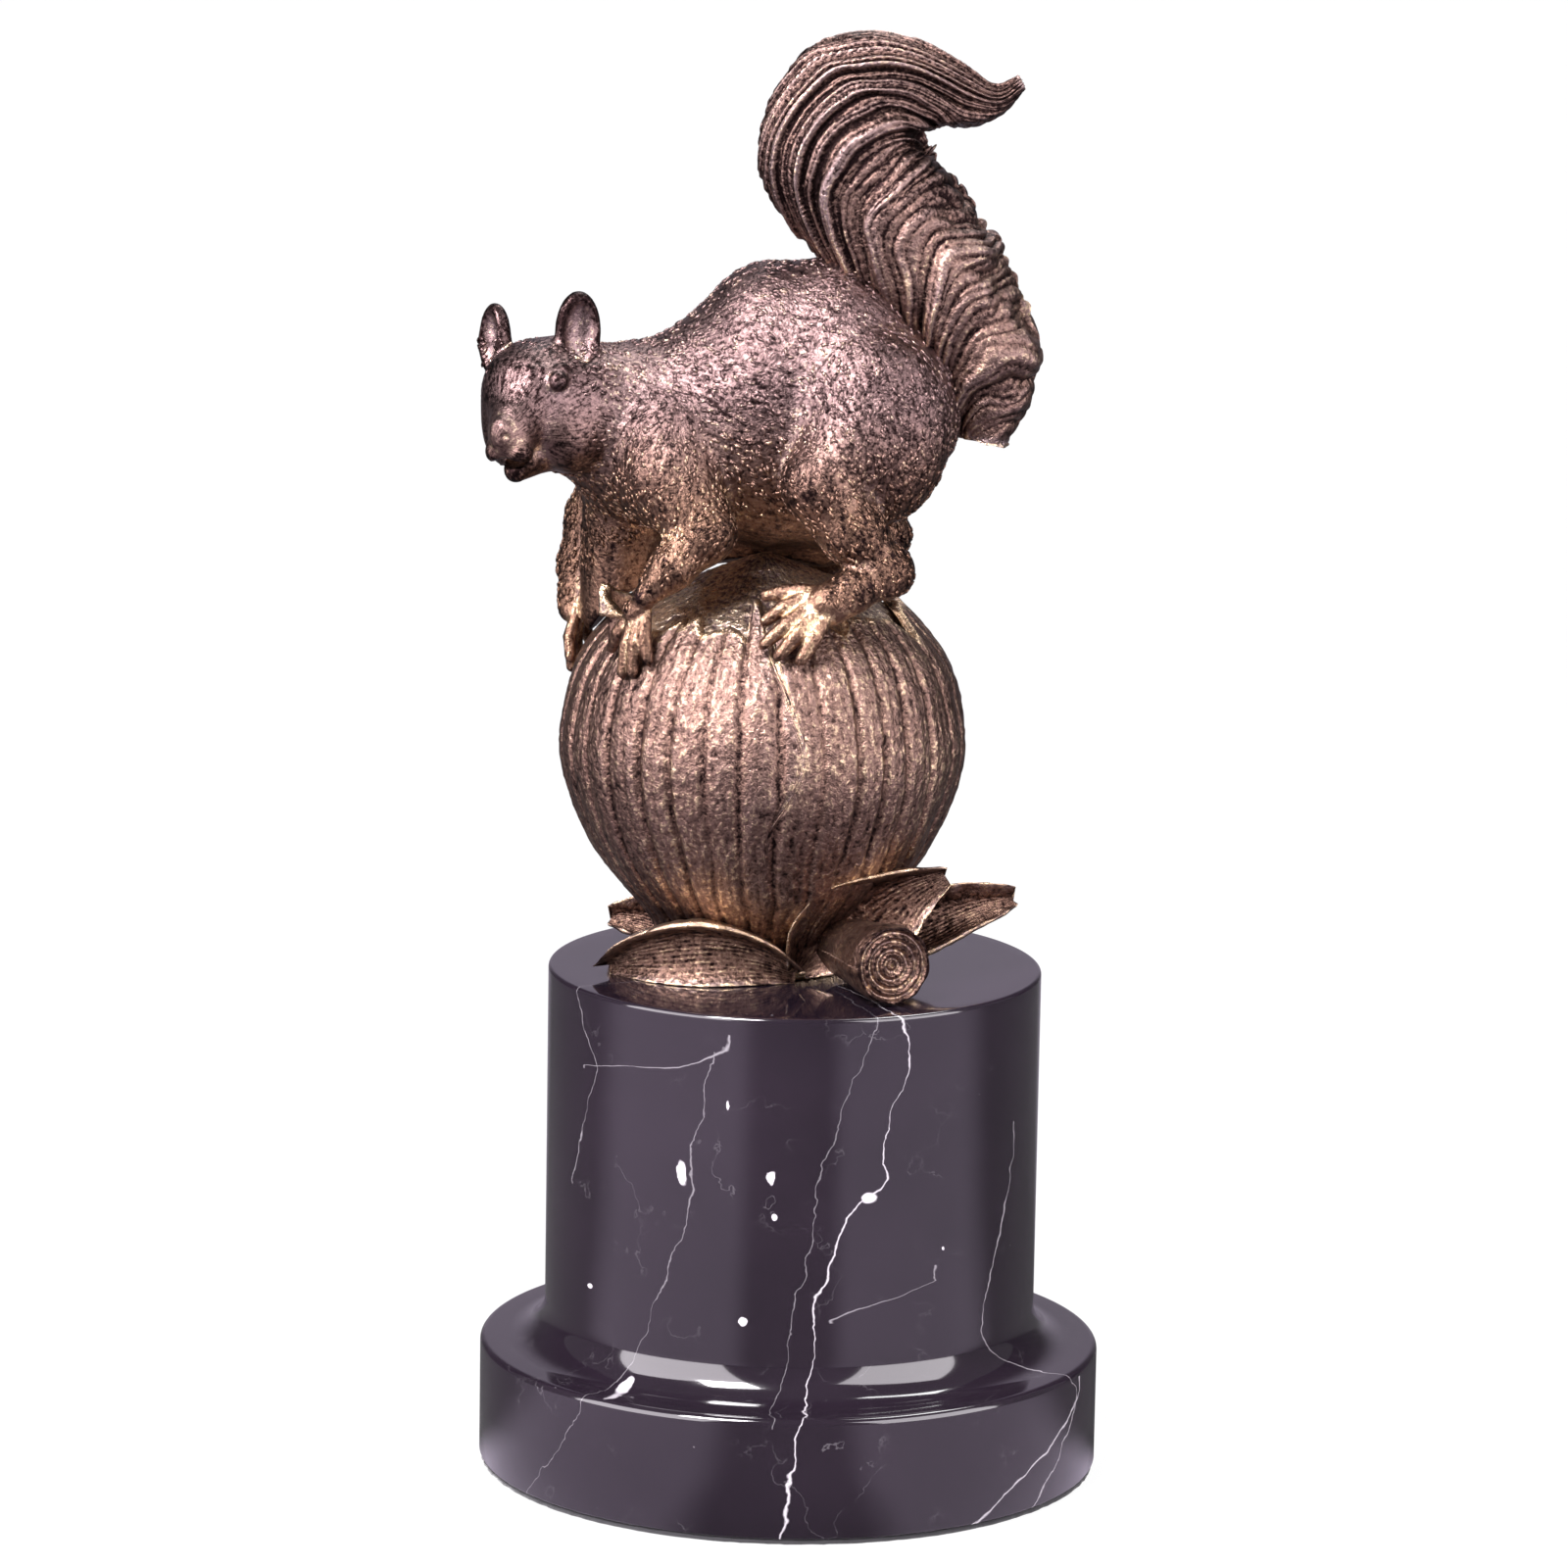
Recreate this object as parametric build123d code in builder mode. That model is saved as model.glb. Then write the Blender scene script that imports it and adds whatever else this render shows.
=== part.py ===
"""A bronze squirrel astride a husked hazelnut, on a turned marble plinth.

Millimetres. The origin is the centre of the felt's underside, +Z is up, the squirrel faces -X
and turns its head towards -Y, which is the side that the figurine is seen from.
"""

import math
import os

from build123d import *

# Driving sizes of the plinth
plate_diameter = 120.0
plate_height = 23.4
plate_edge_radius = 1.4
plinth_step = 12.5
drum_height = 73.6
drum_edge_radius = 0.8
cove_radius = 7.5
felt_thickness = 1.0
felt_margin = 0.4

# Driving sizes of the fixing under the figure
stud_diameter = 6.0
stud_clearance = 0.5
stud_engagement = 11.0
stud_tail = 1.5
stud_chamfer = 0.75
counterbore_diameter = 26.0
counterbore_depth = 12.0
washer_diameter = 20.0
washer_thickness = 1.6
hex_nut_width = 10.0
hex_nut_height = 5.0

# Driving sizes of the nut and its husk
husk_diameter = 78.0
husk_stand = 45.0
husk_wall = 2.5
kernel_clearance = 0.3
rib_count = 32
rib_depth = 1.1
nut_offset_x = -7.0
nut_offset_y = 3.0
notch_run = 14.0

# Driving sizes of the squirrel
torso_length = 76.0
torso_height = 54.0
torso_width = 40.0
head_length = 30.0
head_height = 30.0
head_width = 26.0
ear_height = 15.0
ear_width = 9.0
ear_thickness = 3.4
eye_diameter = 5.4
nose_diameter = 5.6
foreleg_thickness = 15.0
hind_leg_thickness = 34.0
finger_thickness = 3.4
toe_thickness = 3.8
tail_width = 36.0
tail_thickness = 25.0
lock_count = 7
lock_pitch = 10.4
lock_climb = 20.0
lock_relief = 1.0
socket_diameter = 9.0
socket_depth = 7.0
spigot_length = 10.5
paw_clearance = 0.3

# Driving sizes of the leaves and the cut twig
leaf_length = 40.0
leaf_height = 14.0
leaf_thickness = 2.6
twig_diameter = 15.0
twig_length = 26.0
ring_depth = 0.8

# Angles, in degrees
head_turn = 67.0
rim_tilt_right = 8.0
rim_tilt_back = 3.0
neck_azimuth = 201.0
neck_elevation = 27.0
front_flap_azimuth = -159.0

# Places that follow from the driving sizes
plate_radius = plate_diameter / 2
drum_radius = plate_radius - plinth_step
plinth_bottom = felt_thickness
plate_top = plinth_bottom + plate_height
drum_top = plate_top + drum_height
husk_radius = husk_diameter / 2
kernel_radius = husk_radius - husk_wall
socket_radius = socket_diameter / 2
torso_rise_share = 0.444
nut_centre = Vector(nut_offset_x, nut_offset_y, drum_top + husk_stand)
nut_foot = Vector(nut_centre.X, nut_centre.Y, drum_top)
torso_centre = nut_centre + Vector(0, 0, husk_radius + torso_height * torso_rise_share)

# Shares of fingers, toes and leaves
digit_shares = (1.0, 0.9, 0.35)
digit_lift_shares = (0.6, 0.75, 0.25)
leaf_rim_shares = (0.35, 0.55, 0.62, 0.55, 0.35)
leaf_bow_share = 0.45
leaf_edge_share = 0.3

os.makedirs("parts", exist_ok=True)


def unit(azimuth, elevation):
    """Return the unit vector at an azimuth from +X and an elevation, in degrees."""
    across = math.cos(math.radians(elevation))
    return Vector(
        across * math.cos(math.radians(azimuth)),
        across * math.sin(math.radians(azimuth)),
        math.sin(math.radians(elevation)),
    )


def on_husk(azimuth, elevation, lift_share, thickness):
    """Return a point above the husk, lifted by a share of what lies on it."""
    return nut_centre + unit(azimuth, elevation) * (husk_radius + lift_share * thickness)


def in_torso(along, across, up):
    """Return a point placed by shares of the torso's length, width and height."""
    return torso_centre + Vector(along * torso_length, across * torso_width, up * torso_height)


def limb(stations, side, ruled=False):
    """Loft ellipses through stations, each a place, a direction and two radii, the first by side."""
    with BuildPart() as form:
        for place, direction, first, second in stations:
            with BuildSketch(Plane(origin=place, x_dir=side, z_dir=direction)):
                Ellipse(first, second)
        loft(ruled=ruled)
    return form.part


def route(places, radii):
    """Return round stations square to the way through the places."""
    stations = []
    for index, (place, radius) in enumerate(zip(places, radii)):
        before = places[max(index - 1, 0)]
        after = places[min(index + 1, len(places) - 1)]
        stations.append((place, after - before, radius, radius))
    return stations


def paw(digits, thickness):
    """Return the fingers or toes that lie on the husk, from their roots to their claws."""
    forms = []
    radii = [thickness / 2 * share for share in digit_shares]
    for root_azimuth, root_elevation, tip_azimuth, tip_elevation in digits:
        places = []
        for step, lift_share in enumerate(digit_lift_shares):
            run_share = step / (len(digit_lift_shares) - 1)
            azimuth = root_azimuth + (tip_azimuth - root_azimuth) * run_share
            elevation = root_elevation + (tip_elevation - root_elevation) * run_share
            places.append(on_husk(azimuth, elevation, lift_share, thickness))
        forms.append(limb(route(places, radii), Vector(0, 0, 1), ruled=True))
    return forms


def leaf(places, half_heights, lean):
    """Loft a C-shaped leaf that opens along lean, with a thick rolled upper edge."""
    rims = []
    with BuildPart() as form:
        for index, (place, half_height) in enumerate(zip(places, half_heights)):
            before = places[max(index - 1, 0)]
            after = places[min(index + 1, len(places) - 1)]
            bow = half_height * leaf_bow_share
            wall = leaf_thickness * (leaf_edge_share + half_height / leaf_height)
            with BuildSketch(Plane(origin=place, x_dir=lean, z_dir=after - before)):
                with BuildLine():
                    ThreePointArc((0, -half_height), (-bow, 0), (0, half_height))
                    Line((0, half_height), (wall, half_height))
                    ThreePointArc((wall, half_height), (wall - bow, 0), (wall, -half_height))
                    Line((wall, -half_height), (0, -half_height))
                make_face()
            rims.append(place + Vector(0, 0, half_height) + lean * (wall / 2))
        loft(ruled=True)
    rim_radii = [leaf_thickness * share for share in leaf_rim_shares]
    return form.part, limb(route(rims, rim_radii), lean, ruled=True)


def finish(builder, name):
    """Label a finished piece and write its file."""
    builder.part.label = name
    export_step(builder.part, f"parts/{name}.step")


# Plinth: one turned block of marble, with a counterbored hole under the figure
stud_place = Vector(nut_centre.X, nut_centre.Y, 0)

with BuildPart() as plinth:
    with BuildSketch(Plane.XY.offset(plinth_bottom)):
        Circle(plate_radius)
    extrude(amount=plate_height)
    with BuildSketch(Plane.XY.offset(plate_top)):
        Circle(drum_radius)
    extrude(amount=drum_height)
    foot_edge = plinth.edges().filter_by(GeomType.CIRCLE).filter_by_position(
        Axis.Z, plate_top, plate_top
    )
    fillet(foot_edge.sort_by(SortBy.RADIUS)[0], cove_radius)
    fillet(plinth.edges().filter_by_position(Axis.Z, drum_top, drum_top), drum_edge_radius)
    rim_edge = plinth.edges().filter_by(GeomType.CIRCLE).sort_by(SortBy.RADIUS)[-2:]
    fillet(rim_edge.sort_by(Axis.Z)[-1], plate_edge_radius)
    with Locations(Plane(origin=stud_place + Vector(0, 0, plinth_bottom), z_dir=(0, 0, -1))):
        CounterBoreHole(
            radius=stud_diameter / 2 + stud_clearance,
            counter_bore_radius=counterbore_diameter / 2,
            counter_bore_depth=counterbore_depth,
        )
finish(plinth, "plinth")

# Felt: a disc glued under the plate
with BuildPart() as felt_pad:
    with BuildSketch():
        Circle(plate_radius - felt_margin)
    extrude(amount=felt_thickness)
finish(felt_pad, "felt_pad")

# Fixing: a stud in the husk's stem, a washer and a hexagon nut in the counterbore
counterbore_roof = plinth_bottom + counterbore_depth
washer_bottom = counterbore_roof - washer_thickness
hex_nut_bottom = washer_bottom - hex_nut_height
stud_bottom = hex_nut_bottom - stud_tail
stud_top = drum_top + stud_engagement

with BuildPart() as fixing_stud:
    with BuildSketch(Plane(origin=stud_place + Vector(0, 0, stud_bottom))):
        Circle(stud_diameter / 2)
    extrude(amount=stud_top - stud_bottom)
    chamfer(fixing_stud.edges().filter_by(GeomType.CIRCLE), stud_chamfer)
finish(fixing_stud, "fixing_stud")

with BuildPart() as washer:
    with BuildSketch(Plane(origin=stud_place + Vector(0, 0, washer_bottom))):
        Circle(washer_diameter / 2)
        Circle(stud_diameter / 2 + stud_clearance / 2, mode=Mode.SUBTRACT)
    extrude(amount=washer_thickness)
finish(washer, "washer")

with BuildPart() as hex_nut:
    with BuildSketch(Plane(origin=stud_place + Vector(0, 0, hex_nut_bottom))):
        RegularPolygon(hex_nut_width / 2, side_count=6, major_radius=False)
        Circle(stud_diameter / 2, mode=Mode.SUBTRACT)
    extrude(amount=hex_nut_height)
finish(hex_nut, "hex_nut")

# Hazelnut: a round kernel that sits on its flat scar in the husk
scar_share = -0.84
scar_radius = kernel_radius * math.sqrt(1 - scar_share**2)
scar_height = kernel_radius * scar_share
crown_shares = [(0.93, 0.333), (0.74, 0.600), (0.40, 0.800), (0.20, 0.885), (0.0, 0.955)]
nut_axis = Axis(nut_centre, (0, 0, 1))
nut_section = Plane(origin=nut_centre, x_dir=(1, 0, 0), z_dir=(0, -1, 0))


def nut_room(radius):
    """Make the room that the nut takes, out to a radius."""
    side = [(scar_radius, scar_height), (radius, 0)]
    side += [(radius * across, radius * up) for across, up in crown_shares]
    with BuildPart() as room:
        with BuildSketch(nut_section):
            with BuildLine():
                Line(side[-1], (0, scar_height))
                Line((0, scar_height), side[0])
                Spline(side, tangents=[(1, 1.5), (-1, 0)])
            make_face()
        revolve(axis=nut_axis)
    return room.part


with BuildPart() as hazelnut:
    add(nut_room(kernel_radius))
finish(hazelnut, "hazelnut")

# Husk: a ribbed cup round the kernel, with a short stem, a torn rim and an upright flap
husk_shares = [
    (0.487, -husk_stand / husk_radius),
    (0.555, -0.930),
    (0.815, -0.600),
    (0.975, -0.231),
    (0.995, 0.090),
    (0.865, 0.450),
    (0.500, 0.830),
]
husk_band_count = 10
husk_side = Spline([(across * husk_radius, up * husk_radius) for across, up in husk_shares])
husk_rings = [husk_side @ (band / husk_band_count) for band in range(husk_band_count + 1)]
rib_top_shares = (0.25, 0.75)
rim_share = 0.70
notch_shares = [
    (-114, 0.55, 0.75),
    (-88, 0.22, 1.20),
    (-55, 0.40, 0.50),
    (-20, 0.50, 0.80),
    (40, 0.60, 0.90),
    (120, 0.50, 1.00),
    (160, 0.40, 0.70),
]
flap_shares = [
    (0.860, 0.28, 0.22, 0.040),
    (0.905, 0.55, 0.17, 0.034),
    (0.895, 0.82, 0.03, 0.016),
]
cavity_radius = kernel_radius + kernel_clearance
overrun = husk_radius

flap_stations = []
for out_share, up_share, wide_share, thick_share in flap_shares:
    place = nut_centre + unit(front_flap_azimuth, 0) * (out_share * husk_radius)
    place += Vector(0, 0, up_share * husk_radius)
    flap_stations.append((place, Vector(0, 0, 1), wide_share * husk_radius, thick_share * husk_radius))
front_flap = limb(flap_stations, unit(front_flap_azimuth + 90, 0), ruled=True)

with BuildPart() as husk:
    rib_angle = 360 / rib_count
    for ring in husk_rings:
        crest = ring.X
        valley = crest - rib_depth * (crest / husk_radius)
        outline = []
        for rib in range(rib_count):
            outline.append(unit(rib * rib_angle, 0) * valley)
            for share in rib_top_shares:
                outline.append(unit((rib + share) * rib_angle, 0) * crest)
        with BuildSketch(Plane(origin=nut_centre + Vector(0, 0, ring.Y))):
            with BuildLine():
                Polyline(*outline, close=True)
            make_face()
    loft(ruled=True)
    add(nut_room(cavity_radius), mode=Mode.SUBTRACT)
    rim_plane = Plane(origin=nut_centre + Vector(0, 0, rim_share * husk_radius)).rotated(
        (rim_tilt_back, -rim_tilt_right, 0)
    )
    split(bisect_by=rim_plane, keep=Keep.BOTTOM)
    for azimuth, width_share, depth_share in notch_shares:
        notch_plane = Plane(
            origin=nut_centre + Vector(0, 0, rim_share * husk_radius),
            x_dir=unit(azimuth + 90, 0),
            z_dir=unit(azimuth, 0),
        )
        half_notch = notch_run * width_share / 2
        drop = notch_run * depth_share
        with BuildSketch(notch_plane):
            Polygon((-half_notch, notch_run), (half_notch, notch_run), (0, -drop), align=None)
        extrude(amount=overrun, mode=Mode.SUBTRACT)
    with Locations(Plane(origin=nut_foot, z_dir=(0, 0, -1))):
        Hole(stud_diameter / 2, depth=stud_engagement)
    add(front_flap)
    add(nut_room(cavity_radius), mode=Mode.SUBTRACT)
finish(husk, "husk")

# Torso: a hunched barrel from the neck to the rump, cut to the nut and bored for the spigots
neck_shares = (-0.443, -0.100, -0.018)
neck_radius_shares = (0.281, 0.325)
torso_shares = [
    (-0.332, -0.030, -0.070, 12, 18, 0.394, 0.400),
    (-0.151, 0.000, -0.028, 6, 7, 0.476, 0.465),
    (0.059, 0.000, 0.011, 3, 1, 0.511, 0.485),
    (0.224, 0.000, -0.009, 0, 5, 0.465, 0.475),
    (0.355, 0.000, -0.107, 0, 11, 0.287, 0.340),
    (0.467, 0.000, -0.120, 0, 11, 0.110, 0.130),
]
left_shoulder_shares = (-0.20, -0.20, -0.10)
right_shoulder_shares = (-0.26, 0.20, -0.12)
left_hip_shares = (0.290, -0.10, 0.00)
right_hip_shares = (0.290, 0.10, 0.00)
tail_root_shares = (0.400, 0, -0.09)

neck_place = in_torso(*neck_shares)
neck_direction = unit(neck_azimuth, neck_elevation)
neck_height, neck_width = [
    share * size for share, size in zip(neck_radius_shares, (torso_height, torso_width))
]
torso_stations = [(neck_place, neck_direction, neck_height, neck_width)]
for along, across, up, turn, tilt, tall, wide in torso_shares:
    place = in_torso(along, across, up)
    torso_stations.append((place, unit(180 + turn, tilt), tall * torso_height, wide * torso_width))
torso_form = limb(torso_stations, Vector(0, 0, 1))

with BuildPart() as husk_room:
    with BuildSketch(nut_section):
        with BuildLine():
            side = [(ring.X + paw_clearance, ring.Y) for ring in husk_rings]
            Polyline((0, side[0][1]), *side, (0, side[-1][1]), close=True)
        make_face()
    revolve(axis=nut_axis)


def spigot(place, direction, reach):
    """Make the round spigot that a cast piece is let into the torso with, out from its place."""
    with BuildPart() as form:
        with Locations(Plane(origin=place, z_dir=direction)):
            Cylinder(socket_radius, reach, align=(Align.CENTER, Align.CENTER, Align.MIN))
    return form.part


left_shoulder = in_torso(*left_shoulder_shares)
right_shoulder = in_torso(*right_shoulder_shares)
left_hip = in_torso(*left_hip_shares)
right_hip = in_torso(*right_hip_shares)
limb_reach = torso_width / 2
neck_spigot = spigot(neck_place - neck_direction * socket_depth, neck_direction, spigot_length)
tail_spigot = spigot(in_torso(*tail_root_shares), Vector(1, 0, 0), spigot_length)

with BuildPart() as torso:
    add(torso_form)
    add(nut_room(kernel_radius + paw_clearance), mode=Mode.SUBTRACT)
    add(spigot(left_shoulder, Vector(-0.1, -1, -0.5), limb_reach), mode=Mode.SUBTRACT)
    add(spigot(right_shoulder, Vector(-0.3, 1, -0.5), limb_reach), mode=Mode.SUBTRACT)
    add(spigot(left_hip, Vector(-0.15, -1, 0), limb_reach), mode=Mode.SUBTRACT)
    add(spigot(right_hip, Vector(-0.15, 1, 0), limb_reach), mode=Mode.SUBTRACT)
    add(neck_spigot, mode=Mode.SUBTRACT)
    add(tail_spigot, mode=Mode.SUBTRACT)
finish(torso, "torso")

# Head: skull and muzzle on a turned neck, with cheeks, eyes, nose, jaw and cupped ears
head_shares = [
    (0.180, -0.110, 0.090, 45, 12, 0.460, 0.500),
    (0.363, -0.200, 0.130, 25, 0, 0.405, 0.480),
    (0.590, -0.225, 0.083, 8, -10, 0.345, 0.380),
    (0.757, -0.220, 0.010, 0, -14, 0.245, 0.270),
    (0.960, -0.200, -0.075, 0, -14, 0.085, 0.110),
]
eye_shares = [(0.560, -0.525, 0.215), (0.560, 0.075, 0.215)]
nose_shares = (0.930, -0.205, -0.025)
cheek_shares = [(0.800, -0.305, -0.145), (0.800, -0.100, -0.145)]
cheek_radius_share = 0.62
jaw_shares = [(0.50, -0.20, -0.15), (0.70, -0.19, -0.21), (0.82, -0.18, -0.235)]
jaw_radius_shares = (0.20, 0.14, 0.08)
left_ear_shares = (0.30, 0.075, 0.66)
right_ear_shares = (0.30, -0.640, 0.53)
ear_root_shares = (0.36, -0.30)
ear_side_shares = (0.50, 0.18)
ear_tip_share = 0.50
ear_hollow_shares = (0.22, 0.46)
face_forward = unit(180 + head_turn, 0)
face_side = unit(270 + head_turn, 0)


def in_head(along, across, up):
    """Return a point placed by shares of the head's length, width and height."""
    place = face_forward * (along * head_length) + face_side * (across * head_width)
    return neck_place + place + Vector(0, 0, up * head_height)


def ear(root_shares, lean, opening):
    """Make one cupped ear, open towards opening, on a root placed by shares of the head."""
    plane = Plane(origin=in_head(*root_shares), x_dir=opening.cross(lean), z_dir=opening)
    root_half, root_low = ear_width * ear_root_shares[0], ear_height * ear_root_shares[1]
    side_half, side_high = ear_width * ear_side_shares[0], ear_height * ear_side_shares[1]
    hollow_out, hollow_radius = [ear_width * share for share in ear_hollow_shares]
    with BuildPart() as cup:
        with BuildSketch(plane):
            with BuildLine():
                Spline(
                    (-root_half, root_low),
                    (-side_half, side_high),
                    (0, ear_height * ear_tip_share),
                    (side_half, side_high),
                    (root_half, root_low),
                )
                Line((root_half, root_low), (-root_half, root_low))
            make_face()
        extrude(amount=-ear_thickness)
        with Locations(plane.offset(hollow_out)):
            Sphere(hollow_radius, mode=Mode.SUBTRACT)
    return cup.part


head_stations = [(neck_place, neck_direction, neck_height, neck_width)]
for along, across, up, turn, tilt, tall, wide in head_shares:
    direction = unit(180 + head_turn - turn, tilt)
    head_stations.append((in_head(along, across, up), direction, tall * head_height, wide * head_width))
jaw_places = [in_head(*shares) for shares in jaw_shares]
jaw_route = route(jaw_places, [head_width * share for share in jaw_radius_shares])

with BuildPart() as head:
    add(limb(head_stations, Vector(0, 0, 1)))
    add(limb(jaw_route, Vector(0, 0, 1), ruled=True))
    with Locations([in_head(*shares) for shares in eye_shares]):
        Sphere(eye_diameter / 2)
    with Locations([in_head(*shares) for shares in cheek_shares]):
        Sphere(nose_diameter * cheek_radius_share)
    with Locations(in_head(*nose_shares)):
        Sphere(nose_diameter / 2)
    add(ear(left_ear_shares, Vector(0.10, 0, 1), unit(290, 10)))
    add(ear(right_ear_shares, Vector(-0.12, 0, 1), unit(200, 10)))
    add(neck_spigot)
finish(head, "head")

# Tail: a plume that rises behind the back and curls over, with locks that sweep to its outer edge
tail_shares = [
    (0.535, -0.115, 0.150, 80, 0.40),
    (0.535, 0.060, 0.300, 88, 0.62),
    (0.505, 0.240, 0.370, 98, 0.80),
    (0.390, 0.500, 0.440, 110, 0.95),
    (0.188, 0.852, 0.505, 97, 1.00),
    (0.210, 1.090, 0.422, 60, 0.90),
    (0.276, 1.146, 0.372, 48, 0.82),
    (0.360, 1.155, 0.290, 25, 0.66),
    (0.480, 1.105, 0.190, 6, 0.42),
    (0.560, 1.094, 0.095, 18, 0.24),
    (0.617, 1.155, 0.045, 30, 0.12),
]
lock_place_shares = (0.15, 0.45, 0.78, 1.0)
lock_width_shares = (0.28, 0.56, 0.58, 0.20)
lock_reach_share = 0.76
lock_spread_share = 0.95
lock_curl_share = 0.476
lock_tip_share = 1.04
tail_places, tail_edges, tail_backs, tail_sides = [], [], [], []
tail_stations, tail_runs = [], [0]
for along, up, wide, rise, thick in tail_shares:
    place = in_torso(along, 0, up)
    half_width, half_thickness = wide * tail_width, thick * tail_thickness / 2
    if tail_places:
        tail_runs.append(tail_runs[-1] + (place - tail_places[-1]).length)
    tail_places.append(place)
    tail_edges.append(place + unit(0, rise - 90) * half_width)
    tail_backs.append(place + unit(0, rise + 90) * half_width)
    tail_sides.append(place + Vector(0, half_thickness, 0))
    tail_stations.append((place, unit(0, rise), half_thickness, half_width))
tail_run_shares = [run / tail_runs[-1] for run in tail_runs]
tail_middle, tail_edge, tail_back, tail_side = [
    Edge.make_spline(places, parameters=tail_run_shares)
    for places in (tail_places, tail_edges, tail_backs, tail_sides)
]


def lock(start):
    """Loft one lock from the back of the tail, up along it and over to its outer edge."""
    climb = lock_climb + lock_spread_share * start
    end_share = min(1, (lock_reach_share * tail_runs[-1] - start) / climb)
    places, radii = [], []
    for place_share, width_share in zip(lock_place_shares, lock_width_shares):
        bend_share = end_share * place_share
        run_share = (start + climb * bend_share) / tail_runs[-1]
        half_width = lock_pitch * width_share
        across = 1 - 2 * (1 - bend_share) ** lock_curl_share
        middle = tail_middle @ run_share
        rim_way = (tail_edge if across > 0 else tail_back) @ run_share - middle
        reach = min(abs(across), lock_tip_share - half_width / rim_way.length)
        places.append(middle + rim_way * reach)
        half_thickness = (tail_side @ run_share - middle).length * math.sqrt(1 - reach**2)
        radii.append((half_thickness + lock_relief, half_width))
    stations = []
    for (place, direction, _, _), (first, second) in zip(route(places, places), radii):
        stations.append((place, direction, first, second))
    return limb(stations, Vector(0, 1, 0))


with BuildPart() as tail:
    add(limb(tail_stations, Vector(0, 1, 0)))
    for number in range(lock_count):
        add(lock(number * lock_pitch))
    add(tail_spigot)
    add(torso.part, mode=Mode.SUBTRACT)
finish(tail, "tail")

# Forelegs: each from its shoulder over a bent elbow to a paw with four fingers on the husk
left_finger_angles = [
    (-139, 33, -144, 28),
    (-136.5, 32.5, -136.5, 22),
    (-134, 32.5, -132, 23),
    (-131, 33, -127, 27),
]
right_finger_angles = [
    (160, 27, 153, 20),
    (163, 26, 159, 16),
    (166, 26, 166, 16),
    (169, 27, 173, 20),
]
left_arm_shares = [(-0.22, -0.36, -0.20), (-0.150, -0.46, -0.40), (-0.215, -0.56, -0.545)]
right_arm_shares = [(-0.34, 0.35, -0.26), (-0.43, 0.40, -0.46), (-0.465, 0.34, -0.63)]
left_wrist_angles = [(-134, 38), (-135, 33)]
right_wrist_angles = [(164, 31), (165, 27)]
wrist_lift_shares = (1.1, 0.7)
left_arm_radius_shares = (0.55, 0.62, 0.45, 0.31, 0.18, 0.22)
right_arm_radius_shares = (0.55, 0.56, 0.40, 0.29, 0.19, 0.22)


def foreleg(shoulder, arm_shares, wrist_angles, radius_shares, digits):
    """Loft a foreleg from its shoulder to its palm and add its fingers."""
    places = [shoulder] + [in_torso(*shares) for shares in arm_shares]
    for (azimuth, elevation), lift_share in zip(wrist_angles, wrist_lift_shares):
        places.append(on_husk(azimuth, elevation, lift_share, finger_thickness))
    radii = [foreleg_thickness * share for share in radius_shares]
    with BuildPart() as form:
        add(limb(route(places, radii), Vector(1, 0, 0)))
        for finger in paw(digits, finger_thickness):
            add(finger)
        add(torso.part, mode=Mode.SUBTRACT)
        add(husk_room.part, mode=Mode.SUBTRACT)
    return form.part


with BuildPart() as left_foreleg:
    add(
        foreleg(
            left_shoulder,
            left_arm_shares,
            left_wrist_angles,
            left_arm_radius_shares,
            left_finger_angles,
        )
    )
finish(left_foreleg, "left_foreleg")

with BuildPart() as right_foreleg:
    add(
        foreleg(
            right_shoulder,
            right_arm_shares,
            right_wrist_angles,
            right_arm_radius_shares,
            right_finger_angles,
        )
    )
finish(right_foreleg, "right_foreleg")

# Hind legs: thigh, shank and long foot with four toes, the right one mirrored from the left
toe_angles = [
    (-76.6, 45.7, -88, 41),
    (-73, 44, -89, 33.5),
    (-70, 42, -85, 29.6),
    (-69, 39, -78.7, 28.5),
]
thigh_shares = [(0.245, -0.42, -0.03), (0.14, -0.56, -0.22)]
shank_shares = [(0.15, -0.52, -0.20), (0.22, -0.56, -0.39), (0.295, -0.55, -0.51)]
foot_shares = [(0.295, -0.52, -0.52), (0.23, -0.63, -0.59)]
ball_angles = (-71, 43)
ball_lift_share = 0.55
thigh_radius_shares = (0.36, 0.44, 0.22)
shank_radius_shares = (0.20, 0.175, 0.125)
foot_radius_shares = (0.13, 0.115, 0.12)
knee_share = 0.215
hock_share = 0.13


def tapered(places, shares):
    """Loft a round form through places, with radii as shares of the hind leg's thickness."""
    return limb(route(places, [hind_leg_thickness * share for share in shares]), Vector(0, 1, 0))


thigh_places = [left_hip] + [in_torso(*shares) for shares in thigh_shares]
shank_places = [in_torso(*shares) for shares in shank_shares]
foot_places = [in_torso(*shares) for shares in foot_shares]
foot_places.append(on_husk(*ball_angles, ball_lift_share, toe_thickness))

with BuildPart() as hind_leg_form:
    add(tapered(thigh_places, thigh_radius_shares))
    add(tapered(shank_places, shank_radius_shares))
    add(tapered(foot_places, foot_radius_shares))
    for toe in paw(toe_angles, toe_thickness):
        add(toe)
    with Locations(thigh_places[-1]):
        Sphere(hind_leg_thickness * knee_share)
    with Locations(shank_places[-1]):
        Sphere(hind_leg_thickness * hock_share)
    add(husk_room.part, mode=Mode.SUBTRACT)

with BuildPart() as left_hind_leg:
    add(hind_leg_form.part)
    add(torso.part, mode=Mode.SUBTRACT)
finish(left_hind_leg, "left_hind_leg")

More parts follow.
